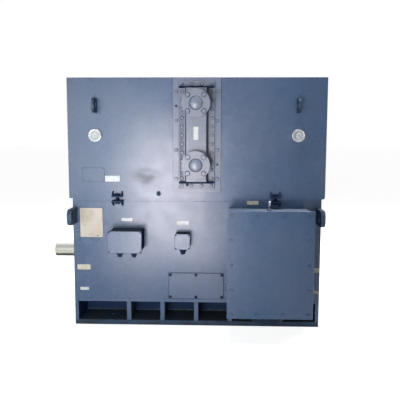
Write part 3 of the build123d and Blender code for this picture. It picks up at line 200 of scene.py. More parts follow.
def add_math(tree, operation, first, second=0.0, third=0.0):
    """One sum, product or comparison of values that change over the surface."""
    clamp = operation == "CLAMPED_ADD"
    kind = "ADD" if clamp else operation
    values = {0: first, 1: second, 2: third}
    return add_node(tree, "ShaderNodeMath", values, operation=kind, use_clamp=clamp).outputs[0]


def add_noise(tree, where, scale, detail, roughness=0.55):
    """Cloudy noise between 0 and 1, finer with a larger scale and richer with more detail."""
    links = {"Vector": where, "Scale": scale, "Detail": detail, "Roughness": roughness}
    return add_node(tree, "ShaderNodeTexNoise", links).outputs["Fac"]


def add_band(tree, value, low, high, least=0.0, most=1.0):
    """The value taken from one range to another, smoothly and without going past its ends."""
    links = {"Value": value, "From Min": low, "From Max": high, "To Min": least, "To Max": most}
    return add_node(tree, "ShaderNodeMapRange", links, interpolation_type="SMOOTHSTEP").outputs["Result"]


def add_blend(tree, mask, under, over):
    """Two colours laid over each other by a mask."""
    values = {0: mask, 6: under, 7: over}
    return add_node(tree, "ShaderNodeMix", values, data_type="RGBA", clamp_factor=True).outputs[2]


def add_toned(tree, colour, tone):
    """A colour made darker or lighter by a factor."""
    return add_node(tree, "ShaderNodeVectorMath", {0: colour, "Scale": tone}, operation="SCALE").outputs[0]


def add_axes(tree, vector):
    """The X, Y and Z of a vector that changes over the surface."""
    return add_node(tree, "ShaderNodeSeparateXYZ", {0: vector}).outputs


def make_enamel_effect():
    """Sprayed enamel: clouds, faint runs, specks, dust with painted lighting on upward faces, painted shade
    on sideways faces, darker near the floor, rubbed edges and orange peel.
    """
    greyed_tone, speck_tone = (0.150, 0.146, 0.190, 1.0), (0.34, 0.36, 0.39, 1.0)
    navy_shade, low_dirt_and_shade = (0.003, 0.009, 0.034, 1.0), (0.022, 0.026, 0.034, 1.0)
    rubbed_tone = (0.27, 0.31, 0.36, 1.0)
    tree, given, where = effect("sprayed_enamel", [
        ("Paint", "NodeSocketColor", paint_tone(*SLATE)),
        ("Cloud", "NodeSocketFloat", 1.0),
        ("Dust", "NodeSocketFloat", 1.0),
        ("Wear", "NodeSocketFloat", 1.0),
        ("Gloss", "NodeSocketFloat", 0.27),
        ("Peel", "NodeSocketFloat", 1.0),
        ("Wave", "NodeSocketFloat", 1.0),
        ("Settled", "NodeSocketColor", (0.06, 0.066, 0.076, 1.0)),
        ("Sides", "NodeSocketFloat", 0.0),
        ("Splash", "NodeSocketFloat", 0.0),
    ])
    long_ways = add_node(tree, "ShaderNodeMapping", {"Vector": where, "Scale": (14.0, 14.0, 0.9)}).outputs[0]
    cloud = add_noise(tree, where, 1.7, 4.0)
    patch = add_noise(tree, where, 11.0, 5.0)
    runs = add_noise(tree, long_ways, 1.0, 4.0)
    mottle = add_noise(tree, where, 110.0, 3.0, 0.6)
    mottled = add_band(tree, mottle, 0.32, 0.68, -0.13, 0.13)
    tone = add_math(tree, "ADD", add_band(tree, cloud, 0.25, 0.75, -0.10, 0.10), mottled)
    tone = add_math(tree, "ADD", tone, add_band(tree, runs, 0.3, 0.75, -0.035, 0.035))
    tone = add_math(tree, "MULTIPLY_ADD", tone, given["Cloud"], 1.0)
    greyed = add_math(tree, "MULTIPLY", add_band(tree, cloud, 0.40, 0.62, 0.0, 0.24), given["Cloud"])
    colour = add_blend(tree, greyed, add_toned(tree, given["Paint"], tone), greyed_tone)
    specks = add_noise(tree, where, 260.0, 2.0, 0.7)
    specks = add_math(tree, "MULTIPLY", add_band(tree, specks, 0.66, 0.78, 0.0, 0.35), given["Dust"])
    colour = add_blend(tree, specks, colour, speck_tone)
    looks = add_axes(tree, add_node(tree, "ShaderNodeNewGeometry").outputs["Normal"])
    # Painted shade: faces turned sideways, away from the front lamps, are darkened towards navy.
    side_shade = add_band(tree, add_math(tree, "ABSOLUTE", looks["Y"]), 0.35, 0.85, 1.0, 0.0)
    side_shade = add_math(tree, "MULTIPLY", side_shade, given["Sides"])
    colour = add_blend(tree, side_shade, colour, navy_shade)
    # Darker near the floor: floor dirt together with painted shade.
    low = add_band(tree, add_axes(tree, where)["Z"], 0.015, 0.075, 1.0, 0.0)
    low = add_math(tree, "MULTIPLY", low, add_band(tree, patch, 0.3, 0.65, 0.35, 1.0))
    colour = add_blend(tree, add_math(tree, "MULTIPLY", low, given["Splash"]), colour, low_dirt_and_shade)
    # Upward faces take a colour of their own: real dust on some paints, painted shade by default and in the
    # pockets, and a painted lighter top on the terminal box.
    upwards = add_band(tree, looks["Z"], 0.55, 0.98)
    top_dust_and_lighting = add_math(tree, "MULTIPLY", upwards, add_band(tree, patch, 0.25, 0.7, 0.3, 0.9))
    top_dust_and_lighting = add_math(tree, "MULTIPLY", top_dust_and_lighting, given["Dust"])
    colour = add_blend(tree, top_dust_and_lighting, colour, given["Settled"])
    edge = add_node(tree, "ShaderNodeAttribute", attribute_name="eased_edge").outputs["Fac"]
    chips = add_noise(tree, where, 65.0, 4.0, 0.65)
    worn = add_math(tree, "MULTIPLY", add_band(tree, chips, 0.52, 0.60), edge)
    worn = add_math(tree, "MULTIPLY", worn, given["Wear"])
    colour = add_blend(tree, add_math(tree, "MULTIPLY", worn, 0.7), colour, rubbed_tone)
    rough = add_math(tree, "ADD", given["Gloss"], add_band(tree, patch, 0.25, 0.75, -0.03, 0.03))
    rough = add_math(tree, "ADD", rough, add_math(tree, "MULTIPLY", top_dust_and_lighting, 0.35))
    rough = add_math(tree, "ADD", rough, add_math(tree, "MULTIPLY", side_shade, 0.5))
    rough = add_math(tree, "CLAMPED_ADD", rough, add_math(tree, "MULTIPLY", specks, 0.3))
    peel = add_math(tree, "MULTIPLY", add_noise(tree, where, 420.0, 2.0), given["Peel"])
    peel = add_math(tree, "MULTIPLY", peel, 0.05)
    wave = add_math(tree, "MULTIPLY", add_noise(tree, where, 3.2, 2.0, 0.4), given["Wave"])
    wave = add_math(tree, "MULTIPLY", wave, 2.4)
    return close_effect(tree, colour, rough, add_math(tree, "ADD", peel, wave))


def surfaced(name, group, settings, **shader_values):
    """A material that takes its colour, roughness and relief, in mm, from one shared effect."""
    material = bpy.data.materials.new(name)
    material.use_nodes = True
    tree = material.node_tree
    shader = tree.nodes["Principled BSDF"]
    source = tree.nodes.new("ShaderNodeGroup")
    source.node_tree = group
    for key, value in settings.items():
        source.inputs[key].default_value = value
    bump = tree.nodes.new("ShaderNodeBump")
    bump.inputs["Strength"].default_value = 1.0
    bump.inputs["Distance"].default_value = 0.001
    tree.links.new(source.outputs["Height"], bump.inputs["Height"])
    tree.links.new(bump.outputs["Normal"], shader.inputs["Normal"])
    tree.links.new(source.outputs["Color"], shader.inputs["Base Color"])
    tree.links.new(source.outputs["Roughness"], shader.inputs["Roughness"])
    for key, value in shader_values.items():
        shader.inputs[key.replace("_", " ")].default_value = value
    return material


def piece(name, work, material, body="stator"):
    """A finished mesh as a named piece of the motor, moving with its body."""
    for face in work.faces:
        face.smooth = True
    mesh = bpy.data.meshes.new(name)
    work.to_mesh(mesh)
    work.free()
    mesh.set_sharp_from_angle(angle=math.radians(38))
    mesh.materials.append(material)
    made = bpy.data.objects.new(name, mesh)
    scene.collection.objects.link(made)
    shading = made.modifiers.new("even_shading", "WEIGHTED_NORMAL")
    shading.keep_sharp = True
    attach(made, body)
    return made


def ease_edges(work, width, segments=2):
    """Breaks every outer edge of a mesh and marks the narrow new faces, where paint rubs off first."""
    mark = work.faces.layers.float.get("eased_edge") or work.faces.layers.float.new("eased_edge")
    corner_angle = math.radians(28)
    shared = [e for e in work.edges if len(e.link_faces) == 2]
    outer = [e for e in shared if e.is_convex and e.calc_face_angle() > corner_angle]
    made = bmesh.ops.bevel(
        work, geom=outer, offset=width, offset_type="OFFSET", affect="EDGES",
        segments=segments, profile=0.5, material=-1, clamp_overlap=True,
    )
    for face in made["faces"]:
        face[mark] = 1.0


def copy_of(node, ease, segments=2):
    """The mesh of a CAD piece, its corners merged, its flat faces made whole and its edges broken."""
    work = bmesh.new()
    work.from_mesh(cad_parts[node].data)
    bmesh.ops.remove_doubles(work, verts=work.verts, dist=0.00001)
    bmesh.ops.dissolve_limit(work, angle_limit=math.radians(0.5), verts=work.verts, edges=work.edges)
    if ease:
        ease_edges(work, ease, segments)
    return work


def dress(node, material, ease, body="stator", segments=2):
    """A finished piece that stands for one CAD piece."""
    made = piece(node + "_piece", copy_of(node, ease, segments), material, body)
    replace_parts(made, node)


def carry(node, material):
    """A CAD piece that stays as it is and only gets its finish."""
    node_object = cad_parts[node]
    node_object.data.materials.clear()
    node_object.data.materials.append(material)


def slab(work, low, high, corner=0.0, ease=0.0):
    """A thin plate on a wall between two corners, its outline rounded and its rims broken."""
    part = bmesh.new()
    bmesh.ops.create_cube(part, size=1.0)
    low, high = Vector(low), Vector(high)
    bmesh.ops.scale(part, verts=part.verts, vec=high - low)
    if corner:
        upright = [e for e in part.edges if abs((e.verts[0].co - e.verts[1].co).normalized().y) > 0.9]
        bmesh.ops.bevel(
            part, geom=upright, offset=corner, offset_type="OFFSET", affect="EDGES",
            segments=5, profile=0.5, material=-1,
        )
    if ease:
        ease_edges(part, ease, 1)
    set_down(work, part, [(low + high) / 2])


def weld_bead(work, start, end, leg, seed):
    """A fillet weld: a round bead laid in short overlapping steps, a little uneven as by hand."""
    start, end = Vector(start), Vector(end)
    along = end - start
    count = max(3, int(along.length / (leg * 0.9)))
    chance = random.Random(seed)
    bead = bmesh.new()
    bmesh.ops.create_circle(bead, cap_ends=True, segments=8, radius=leg * 0.5)
    ring = list(bead.faces)
    for step in range(count):
        grown = bmesh.ops.extrude_face_region(bead, geom=ring)["geom"]
        corners = [v for v in grown if isinstance(v, bmesh.types.BMVert)]
        if step:
            bmesh.ops.delete(bead, geom=ring, context="FACES_ONLY")
        ring = [f for f in grown if isinstance(f, bmesh.types.BMFace)]
        bmesh.ops.translate(bead, verts=corners, vec=(0.0, 0.0, along.length / count))
        centre = sum((v.co for v in corners), Vector()) / len(corners)
        size = chance.uniform(0.84, 1.2) if step % 2 else chance.uniform(0.72, 0.95)
        for v in corners:
            v.co = centre + (v.co - centre).normalized() * leg * 0.5 * size
    bmesh.ops.recalc_face_normals(bead, faces=bead.faces)
    turned_to = along.to_track_quat("Z", "Y").to_matrix().to_4x4()
    set_down(work, bead, [Matrix.Translation(start) @ turned_to])


def set_down(work, part, places):
    """Puts one copy of a small part at each place, given as a point or as a turn and a point."""
    stamp = bpy.data.meshes.new("stamp")
    part.to_mesh(stamp)
    part.free()
    for place in places:
        move = place if isinstance(place, Matrix) else Matrix.Translation(place)
        stamp.transform(move)
        work.from_mesh(stamp)
        stamp.transform(move.inverted())
    bpy.data.meshes.remove(stamp)


enamel = make_enamel_effect()
NAVY_GLINT = (0.45, 0.66, 1.0, 1.0)


def painted(name, tone=SLATE, shine=0.5, glint=(1.0, 1.0, 1.0, 1.0), **finish):
    """Enamel in one tone, with the clouds, dust, wear and gloss that its place gives it."""
    settings = {"Paint": paint_tone(*tone), **finish}
    return surfaced(name, enamel, settings, Specular_IOR_Level=shine, Specular_Tint=glint)


frame_enamel = painted("frame_enamel", Wave=0.3)
plate_enamel = painted("plate_enamel", Wave=0.2, Peel=1.6, Gloss=0.42)
# A darker copy of the enamel on the rails, darker still near the floor: dirt and painted shade.
rail_enamel = painted(
    "rail_enamel", (50, 78, 106), shine=0.3, glint=(0.55, 0.75, 1.0, 1.0),
    Wave=0.2, Cloud=0.5, Peel=1.6, Gloss=0.5, Splash=0.9,
)
# Pocket paint: a dark copy of the enamel that paints the shade inside the pockets.
pocket_shade_enamel = painted(
    "pocket_shade_enamel", (26, 44, 74), shine=0.2, glint=NAVY_GLINT,
    Wave=0.2, Cloud=0.1, Peel=2.5, Gloss=0.6, Dust=0.3, Wear=0.2, Settled=(0.014, 0.018, 0.027, 1),
)
dress("foot_rails", rail_enamel, 0.002)
# The ribs carry painted shade on their sideways faces and darkening near the floor.
rib_enamel = painted(
    "rib_enamel", shine=0.4,
    Wave=0.2, Peel=1.6, Gloss=0.42, Dust=2.2, Sides=0.9, Splash=0.4,
)
dress("foot_ribs", rib_enamel, 0.002)
dress("pocket_roofs", plate_enamel, 0.001)
dress("pocket_back_walls", pocket_shade_enamel, 0.0)
carry("belly_plate", plate_enamel)
weld_enamel = painted("weld_enamel", (58, 74, 98), shine=0.3, Wave=0.0, Peel=5.0, Gloss=0.42, Dust=1.2)
beads = bmesh.new()
foot_start, foot_end = -0.8445, 0.860
rib_middles, rib_half = (-0.484, -0.242, 0.0, 0.242, 0.484), 0.0155
weld_out, weld_up = 0.2740, 0.0385
for side in (-1, 1):
    edge = foot_start
    stitches = random.Random(31 + side)
    for stop in (*rib_middles, foot_end):
        while edge < stop - 0.045:
            end = min(edge + stitches.uniform(0.022, 0.060), stop - rib_half)
            from_to = [(x, side * weld_out, weld_up) for x in (edge, end)]
            weld_bead(beads, *from_to, 0.010, stitches.random())
            edge = end + stitches.uniform(0.012, 0.030)
        edge = stop + rib_half
piece("pocket_welds", beads, weld_enamel)
# Dark sheets at both ends of the pockets: painted shade.
linings = bmesh.new()
pocket_back, pocket_mouth, rail_top, pocket_top = 0.272, 0.514, 0.036, 0.171
for side in (-1, 1):
    near, far = sorted((side * pocket_back, side * pocket_mouth))
    for x in (-0.8447, 0.8439):
        slab(linings, (x, near, rail_top), (x + 0.0008, far, pocket_top))
piece("pocket_linings", linings, pocket_shade_enamel)


# Frame walls: side sheets, thick end walls with round openings, top plate and the inner bulkheads,
# flame cut from steel plate, welded up and painted. Lifting lugs stand at the four corners.

for node in ("side_walls", "end_walls", "frame_top_plate"):
    dress(node, frame_enamel, 0.001)
carry("core_bulkheads", plate_enamel)
# A darker teal copy of the enamel on the lugs: painted shade, strongest on their sideways faces.
lug_enamel = painted(
    "lug_enamel", (42, 66, 90), shine=0.4, glint=(0.55, 0.80, 1.0, 1.0),
    Wave=0.2, Peel=1.6, Gloss=0.42, Sides=0.6,
)
dress("frame_lifting_lugs", lug_enamel, 0.003)


def lug_beads(out, along, bottom, top, leg, seed):
    """Weld beads up the roots of four lifting lugs, a pair on each side."""
    beads = bmesh.new()
    for side in (-1, 1):
        for end in (-1, 1):
            x, y = end * along, side * out
            weld_bead(beads, (x, y, bottom), (x, y, top), leg, seed + side + end)
    return beads


FRAME_SIDE = 0.520
welds = lug_beads(FRAME_SIDE + 0.0015, 0.843, bottom=0.746, top=0.854, leg=0.007, seed=10)
piece("lug_welds", welds, weld_enamel)


# Inspection covers: thin steel plates low on both sides, each held by six hexagon bolts,
# all painted over with the frame. Thin dark lines of painted shade run along their rims.

# A lighter copy of the enamel on the covers: painted highlight where the glare falls.
cover_enamel = painted("cover_enamel", (78, 100, 132), Wave=0.6, Gloss=0.32)
dress("inspection_covers", cover_enamel, 0.0012)
# Dark paint for thin lines of painted shade along joints and rims and round bolts and plugs.
joint_shade = painted(
    "joint_shade", (14, 28, 60), shine=0.15, glint=NAVY_GLINT,
    Wave=0.0, Cloud=0.05, Peel=2.0, Wear=0.0, Dust=0.15, Gloss=0.6,
)
rims = bmesh.new()
rim_half, rim_bottom, rim_top = 0.1985, 0.1980, 0.3880
for side in (-1, 1):
    near, far = sorted((side * (FRAME_SIDE + 0.0015), side * (FRAME_SIDE - 0.0005)))
    slab(rims, (-rim_half, near, rim_bottom), (rim_half, far, rim_top), 0.004)
piece("cover_joints", rims, joint_shade)
bolt_enamel = painted("bolt_enamel", Wave=0.0, Peel=1.2, Wear=1.4, Dust=1.2, Sides=0.5)
grimy_bolts = painted(
    "grimy_bolts", (9, 22, 54), shine=0.15, glint=NAVY_GLINT,
    Wave=0.0, Cloud=0.05, Peel=2.0, Wear=0.1, Dust=0.2, Gloss=0.55,
)
dress("inspection_bolts", grimy_bolts, 0.0012)


# Stator and rotor: stacks of varnished steel sheets, taped coils, a cage of copper bars,
# a cast fan and the ring plate in front of it. They stay hidden inside the frame.

def add_grain(tree, where, across):
    """Noise drawn out by a factor for each direction, as rolling or turning leaves it."""
    drawn = add_node(tree, "ShaderNodeVectorMath", {0: where, 1: across}, operation="MULTIPLY")
    return add_noise(tree, drawn.outputs[0], 1.0, 3.0)


def make_metal_effect():
    """Bare metal: drawn out grain, soft stains and fine tool marks."""
    tree, given, where = effect("bare_metal", [
        ("Metal", "NodeSocketColor", (0.5, 0.5, 0.5, 1.0)),
        ("Stain", "NodeSocketColor", (0.2, 0.18, 0.15, 1.0)),
        ("Stained", "NodeSocketFloat", 0.3),
        ("Across", "NodeSocketVector", (600.0, 30.0, 30.0)),
        ("Marks", "NodeSocketFloat", 1.0),
        ("Gloss", "NodeSocketFloat", 0.3),
    ])
    grain = add_grain(tree, where, given["Across"])
    stain = add_noise(tree, where, 16.0, 5.0, 0.6)
    toned = add_toned(tree, given["Metal"], add_band(tree, grain, 0.25, 0.75, 0.88, 1.1))
    stained = add_math(tree, "MULTIPLY", add_band(tree, stain, 0.42, 0.68), given["Stained"])
    colour = add_blend(tree, stained, toned, given["Stain"])
    rough = add_math(tree, "ADD", given["Gloss"], add_band(tree, grain, 0.3, 0.7, -0.05, 0.06))
    rough = add_math(tree, "CLAMPED_ADD", rough, add_math(tree, "MULTIPLY", stained, 0.3))
    height = add_math(tree, "MULTIPLY", add_math(tree, "MULTIPLY", grain, given["Marks"]), 0.04)
    return close_effect(tree, colour, rough, height)


bare_metal = make_metal_effect()


def metal(name, colour, metallic=1.0, **finish):
    """A bare surface in one colour, with the grain and the stain marks that its making gives it."""
    return surfaced(name, bare_metal, {"Metal": (*colour, 1.0), **finish}, Metallic=metallic)


sheets = metal(
    "lamination_stack", (0.20, 0.20, 0.21), metallic=0.7,
    Across=(2000.0, 8.0, 8.0), Gloss=0.45,
)
coils = metal(
    "taped_coils", (0.16, 0.06, 0.025), metallic=0.0,
    Across=(90.0, 260.0, 260.0), Gloss=0.5, Marks=6.0,
)
bars = metal("copper_bars", (0.72, 0.36, 0.22), Across=(30.0, 300.0, 300.0))
castings = metal(
    "cast_aluminium", (0.62, 0.63, 0.64),
    Across=(240.0, 240.0, 240.0), Gloss=0.42, Marks=3.0,
)
carry("stator_core", sheets)
carry("rotor_core", sheets)
carry("stator_winding", coils)
carry("rotor_cage", bars)
carry("rotor_fan", castings)
carry("air_guide", plate_enamel)


# Shaft: one turned steel forging with a keyway in its free end, left bright under a thin yellowish
# film that keeps rust off, with a painted highlight on top and painted shade underneath and along the
# keyway.

def make_film_effect():
    """Turned steel under a film, thin on top and thicker low down, with a painted highlight along the top,
    painted shade underneath and a dark painted strip where the keyway lies.
    """
    tree, given, where = effect("film_with_painted_light", [
        ("Metal", "NodeSocketColor", (0.36, 0.36, 0.33, 1.0)),
        ("Axis Height", "NodeSocketFloat", 0.45),
    ])
    place = add_axes(tree, where)
    level = add_math(tree, "SUBTRACT", place["Z"], given["Axis Height"])
    ragged = add_noise(tree, where, 22.0, 4.0)
    above = add_math(tree, "ADD", level, add_band(tree, ragged, 0.3, 0.7, -0.003, 0.003))
    rings = add_grain(tree, where, (900.0, 10.0, 10.0))
    toned = add_toned(tree, given["Metal"], add_band(tree, rings, 0.25, 0.75, 0.88, 1.1))
    painted_highlight_tone, film_tone = (0.90, 0.90, 0.88, 1.0), (0.55, 0.56, 0.46, 1.0)
    painted_shade_tone = (0.034, 0.036, 0.031, 1.0)
    # Painted highlight along the top of the shaft.
    painted_highlight = add_blend(tree, add_band(tree, above, 0.020, 0.045, 0.0, 0.7), toned, painted_highlight_tone)
    film = add_blend(tree, add_band(tree, above, -0.024, 0.010, 0.8, 0.0), painted_highlight, film_tone)
    # A dark painted strip where the keyway lies in shade.
    below_top = add_band(tree, level, 0.0568, 0.0572, 1.0, 0.0)
    off_middle = add_math(tree, "ABSOLUTE", place["Y"])
    keyway_shade = add_math(tree, "MULTIPLY", below_top, add_band(tree, off_middle, 0.0163, 0.0166, 1.0, 0.0))
    keyway_shade = add_math(tree, "MULTIPLY", keyway_shade, add_band(tree, level, 0.040, 0.042))
    # Painted shade on the underside of the round surface.
    facing = add_axes(tree, add_node(tree, "ShaderNodeNewGeometry").outputs["Normal"])["X"]
    round_side = add_band(tree, add_math(tree, "ABSOLUTE", facing), 0.4, 0.8, 1.0, 0.0)
    painted_underside_shade = add_math(tree, "MULTIPLY", add_band(tree, above, -0.038, -0.023, 0.95, 0.0), round_side)
    painted_shade_mask = add_math(tree, "MAXIMUM", painted_underside_shade, keyway_shade)
    colour = add_blend(tree, painted_shade_mask, film, painted_shade_tone)
    rough = add_math(tree, "ADD", 0.42, add_math(tree, "MULTIPLY", painted_shade_mask, 0.2))
    return close_effect(tree, colour, rough, add_math(tree, "MULTIPLY", rings, 0.03))


turned_steel = surfaced("turned_steel", make_film_effect(), {}, Metallic=0.75)
dress("shaft", turned_steel, 0.0008, "rotor")


# Bearings: ground steel rings and rollers in machined brass cages, shut in by cast caps
# that are bolted to ribbed cast end shields.

ground_steel = metal(
    "ground_steel", (0.60, 0.61, 0.63),
    Across=(500.0, 40.0, 40.0), Gloss=0.16, Stained=0.1,
)
machined_brass = metal("machined_brass", (0.70, 0.50, 0.20), Across=(400.0, 30.0, 30.0), Gloss=0.28)
grey_iron = metal(
    "grey_iron", (0.16, 0.16, 0.165), metallic=0.6,
    Across=(220.0, 220.0, 220.0), Gloss=0.5, Marks=4.0,
)
carry("bearing_outer_rings", ground_steel)
carry("bearing_inner_rings", ground_steel)
for end in ("drive", "rear"):
    carry(end + "_bearing_rollers", ground_steel)
    carry(end + "_bearing_cage", machined_brass)
carry("inner_bearing_caps", grey_iron)
cast_enamel = painted("cast_enamel", Wave=0.3, Peel=5.0, Gloss=0.44)
for node in ("drive_end_shield", "rear_end_shield", "drive_bearing_cap", "rear_bearing_cap"):
    dress(node, cast_enamel, 0.002)
dress("end_shield_bolts", bolt_enamel, 0.0012)
dress("bearing_cap_bolts", bolt_enamel, 0.0012)


# Cooler housing: a sheet steel box with its roof, four lifting lugs and the pairs of gusseted
# clamps that bolt it down on the frame. A dull smudge is rubbed into the paint low on its front.

cooler_enamel = painted("cooler_enamel", Wave=0.6, Settled=(0.15, 0.16, 0.17, 1), Dust=0.8)
wall = cooler_enamel.node_tree
wall_shader = wall.nodes["Principled BSDF"]
base_tone = wall_shader.inputs["Base Color"].links[0].from_socket
base_rough = wall_shader.inputs["Roughness"].links[0].from_socket
where = add_node(wall, "ShaderNodeTexCoord").outputs["Object"]
rubbed_place = {"Vector": where, "Location": (3.4, 2.7, -16.4), "Scale": (9.5, 5.0, 15.2)}
rubbed = add_node(wall, "ShaderNodeMapping", rubbed_place).outputs[0]
reach = add_node(wall, "ShaderNodeVectorMath", {0: rubbed}, operation="LENGTH").outputs["Value"]
drawn = add_node(wall, "ShaderNodeMapping", {"Vector": where, "Scale": (12.0, 1.0, 55.0)}).outputs[0]
streaks = add_band(wall, add_noise(wall, drawn, 1.0, 3.0), 0.35, 0.6, 0.25, 0.9)
smudge = add_math(wall, "MULTIPLY", add_band(wall, reach, 0.4, 1.2, 1.0, 0.0), streaks)
duller = add_math(wall, "ADD", base_rough, add_math(wall, "MULTIPLY", smudge, 0.11))
wall.links.new(duller, wall_shader.inputs["Roughness"])
darker = add_blend(wall, smudge, base_tone, (0.040, 0.062, 0.100, 1.0))
wall.links.new(darker, wall_shader.inputs["Base Color"])
dress("cooler_housing", cooler_enamel, 0.001)
dress("cooler_roof", cooler_enamel, 0.001)
carry("cooler_duct_plates", plate_enamel)
dress("cooler_lifting_lugs", lug_enamel, 0.003)
# A near black copy of the enamel on the clamps: painted shade.
clamp_enamel = painted(
    "clamp_enamel", (16, 30, 58), shine=0.3, glint=NAVY_GLINT,
    Wave=0.0, Cloud=0.05, Peel=2.0, Gloss=0.5, Sides=0.6, Wear=0.15, Dust=0.5,
)
dress("cooler_clamps", clamp_enamel, 0.0015)
dress("clamp_bolts", grimy_bolts, 0.0015)
COOLER_SIDE = 0.535
welds = lug_beads(COOLER_SIDE + 0.0015, 0.6925, bottom=1.515, top=1.613, leg=0.006, seed=20)
piece("cooler_lug_welds", welds, weld_enamel)


# Water side: finned tubes between drilled sheets, the cast water header on its end plate
# at the front, the blind return header at the back, and the bolts with rings of painted shade round them.

finned = metal("finned_tubes", (0.58, 0.52, 0.44), Across=(6.0, 1400.0, 6.0), Gloss=0.4, Marks=8.0)
drilled = metal("drilled_sheet", (0.38, 0.39, 0.40), Across=(200.0, 200.0, 200.0), Gloss=0.4)
carry("cooler_tubes", finned)
carry("tube_sheets", drilled)
# Lighter copies of the enamel for the end plate, the header and their bolts: painted highlight where the
# glare falls, with painted shade on their sideways faces.
end_plate_enamel = painted(
    "end_plate_enamel", (108, 123, 148),
    Wave=0.5, Peel=2.0, Gloss=0.30, Sides=0.45,
)
header_enamel = painted("header_enamel", (114, 126, 147), Wave=0.5, Peel=4.0, Gloss=0.32, Sides=0.85)
dress("cooler_end_plate", end_plate_enamel, 0.0015)
dress("water_header", header_enamel, 0.003)
dress("return_header", end_plate_enamel, 0.003)
cooler_bolt_enamel = painted(
    "cooler_bolt_enamel", (106, 122, 148),
    Wave=0.0, Peel=1.2, Wear=1.0, Gloss=0.3, Sides=1.0,
)
dress("cooler_bolts", cooler_bolt_enamel, 0.0018)


def shells(node):
    """The lowest and highest corner of each loose part of a CAD piece."""
    work = copy_of(node, 0.0)
    seen, boxes = set(), []
    for first in work.verts:
        if first in seen:
            continue
        seen.add(first)
        found = [first]
        for v in found:
            for edge in v.link_edges:
                near = edge.other_vert(v)
                if near not in seen:
                    seen.add(near)
                    found.append(near)
        spots = [v.co.copy() for v in found]
        boxes.append((Vector(map(min, *spots)), Vector(map(max, *spots))))
    work.free()
    return boxes


def disc(work, radius, thickness, segments, centre, ease=0.0):
    """A round or many sided disc that looks to the front, its near face at the centre given."""
    part = bmesh.new()
    bmesh.ops.create_cone(
        part, cap_ends=True, segments=segments, radius1=radius, radius2=radius, depth=thickness,
    )
    bmesh.ops.rotate(part, verts=part.verts, matrix=Matrix.Rotation(math.radians(90), 3, "X"))
    bmesh.ops.translate(part, verts=part.verts, vec=(0.0, thickness / 2, 0.0))
    if ease:
        ease_edges(part, ease, 2)
    set_down(work, part, [centre])


def dirt_ring(work, low, high, near, thickness):
    """A dark ring of painted shade round a bolt head, given by the head's lowest and highest corner."""
    centre = ((low.x + high.x) / 2, near, (low.z + high.z) / 2)
    disc(work, (high.z - low.z) / 2 + 0.0028, thickness, 20, centre)


HEADER_MIDDLE = 0.005
end_plate_front, header_flange_front = -0.547, -0.567
rings = bmesh.new()
for low, high in shells("cooler_bolts"):
    if high.y < 0.0:
        on_header = abs((low.x + high.x) / 2 - HEADER_MIDDLE) < 0.130 and low.y < -0.572
        face = header_flange_front if on_header else end_plate_front
        dirt_ring(rings, low, high, face - 0.0004, 0.0006)
# Dark strips of painted shade along the header's end ribs and round the end plate and the header's flange.
for half_width, bottom, top, near, far, corner, ease in (
    (0.1190, 1.0358, 1.0442, -0.6400, -0.5665, 0.0, 0.0005),
    (0.1190, 1.6798, 1.6882, -0.6400, -0.5665, 0.0, 0.0005),
    (0.1675, 0.9705, 1.7545, -0.5362, -0.5345, 0.002, 0.0),
    (0.1255, 0.9955, 1.7285, -0.5482, -0.5465, 0.002, 0.0),
):
    left, right = HEADER_MIDDLE - half_width, HEADER_MIDDLE + half_width
    slab(rings, (left, near, bottom), (right, far, top), corner, ease)
piece("header_joints", rings, joint_shade)


# Water flanges: two drilled steel flanges on short pipes, each shut by a domed plug.
# Hexagon bolts wait in the four holes of each for the pipes that come later.

# Lighter copies of the enamel on the flanges and plugs: painted highlight where the glare falls, with
# painted shade on sideways faces.
flange_enamel = painted("flange_enamel", (124, 134, 152), Wave=0.0, Peel=2.0, Gloss=0.34, Sides=0.6)
dress("water_flanges", flange_enamel, 0.0015)
plug_paint = painted(
    "painted_plug", (122, 134, 156),
    Wave=0.0, Peel=1.0, Gloss=0.29, Dust=0.6, Sides=0.3,
)


def turned(work, outline, centre, facing="down"):
    """A round part spun from its half outline, each point as (distance from the middle, height)."""
    part = bmesh.new()
    line = [part.verts.new((out, 0.0, up)) for out, up in outline]
    edges = [part.edges.new(pair) for pair in zip(line, line[1:])]
    bmesh.ops.spin(
        part, geom=line + edges, cent=(0, 0, 0), axis=(0, 0, 1), dvec=(0, 0, 0),
        angle=math.tau, steps=40, use_merge=True, use_duplicate=False,
    )
    bmesh.ops.remove_doubles(part, verts=part.verts, dist=0.00001)
    bmesh.ops.dissolve_degenerate(part, edges=part.edges, dist=0.00001)
    bmesh.ops.recalc_face_normals(part, faces=part.faces)
    lay = Matrix.Rotation(math.radians(90), 4, "X") if facing == "front" else Matrix.Identity(4)
    set_down(work, part, [Matrix.Translation(centre) @ lay])


FLANGE_FRONT = -0.737
PIPE_HEIGHTS = (1.165, 1.572)
plugs, lips = bmesh.new(), bmesh.new()
dome = [
    (0.0, 0.0085), (0.010, 0.0083), (0.020, 0.0076), (0.029, 0.0064), (0.035, 0.0048), (0.0395, 0.0030),
    (0.0418, 0.0012), (0.0423, -0.0004), (0.0370, -0.0004), (0.0370, -0.0150), (0.0, -0.0150),
]
for z in PIPE_HEIGHTS:
    turned(plugs, dome, (HEADER_MIDDLE, FLANGE_FRONT - 0.0005, z), "front")
    disc(lips, 0.0457, 0.0008, 48, (HEADER_MIDDLE, FLANGE_FRONT - 0.0006, z))
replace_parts(piece("flange_plug_domes", plugs, plug_paint), "flange_plugs")
# Dark rings round the plugs: painted shade in the gap.
piece("plug_lips", lips, joint_shade)


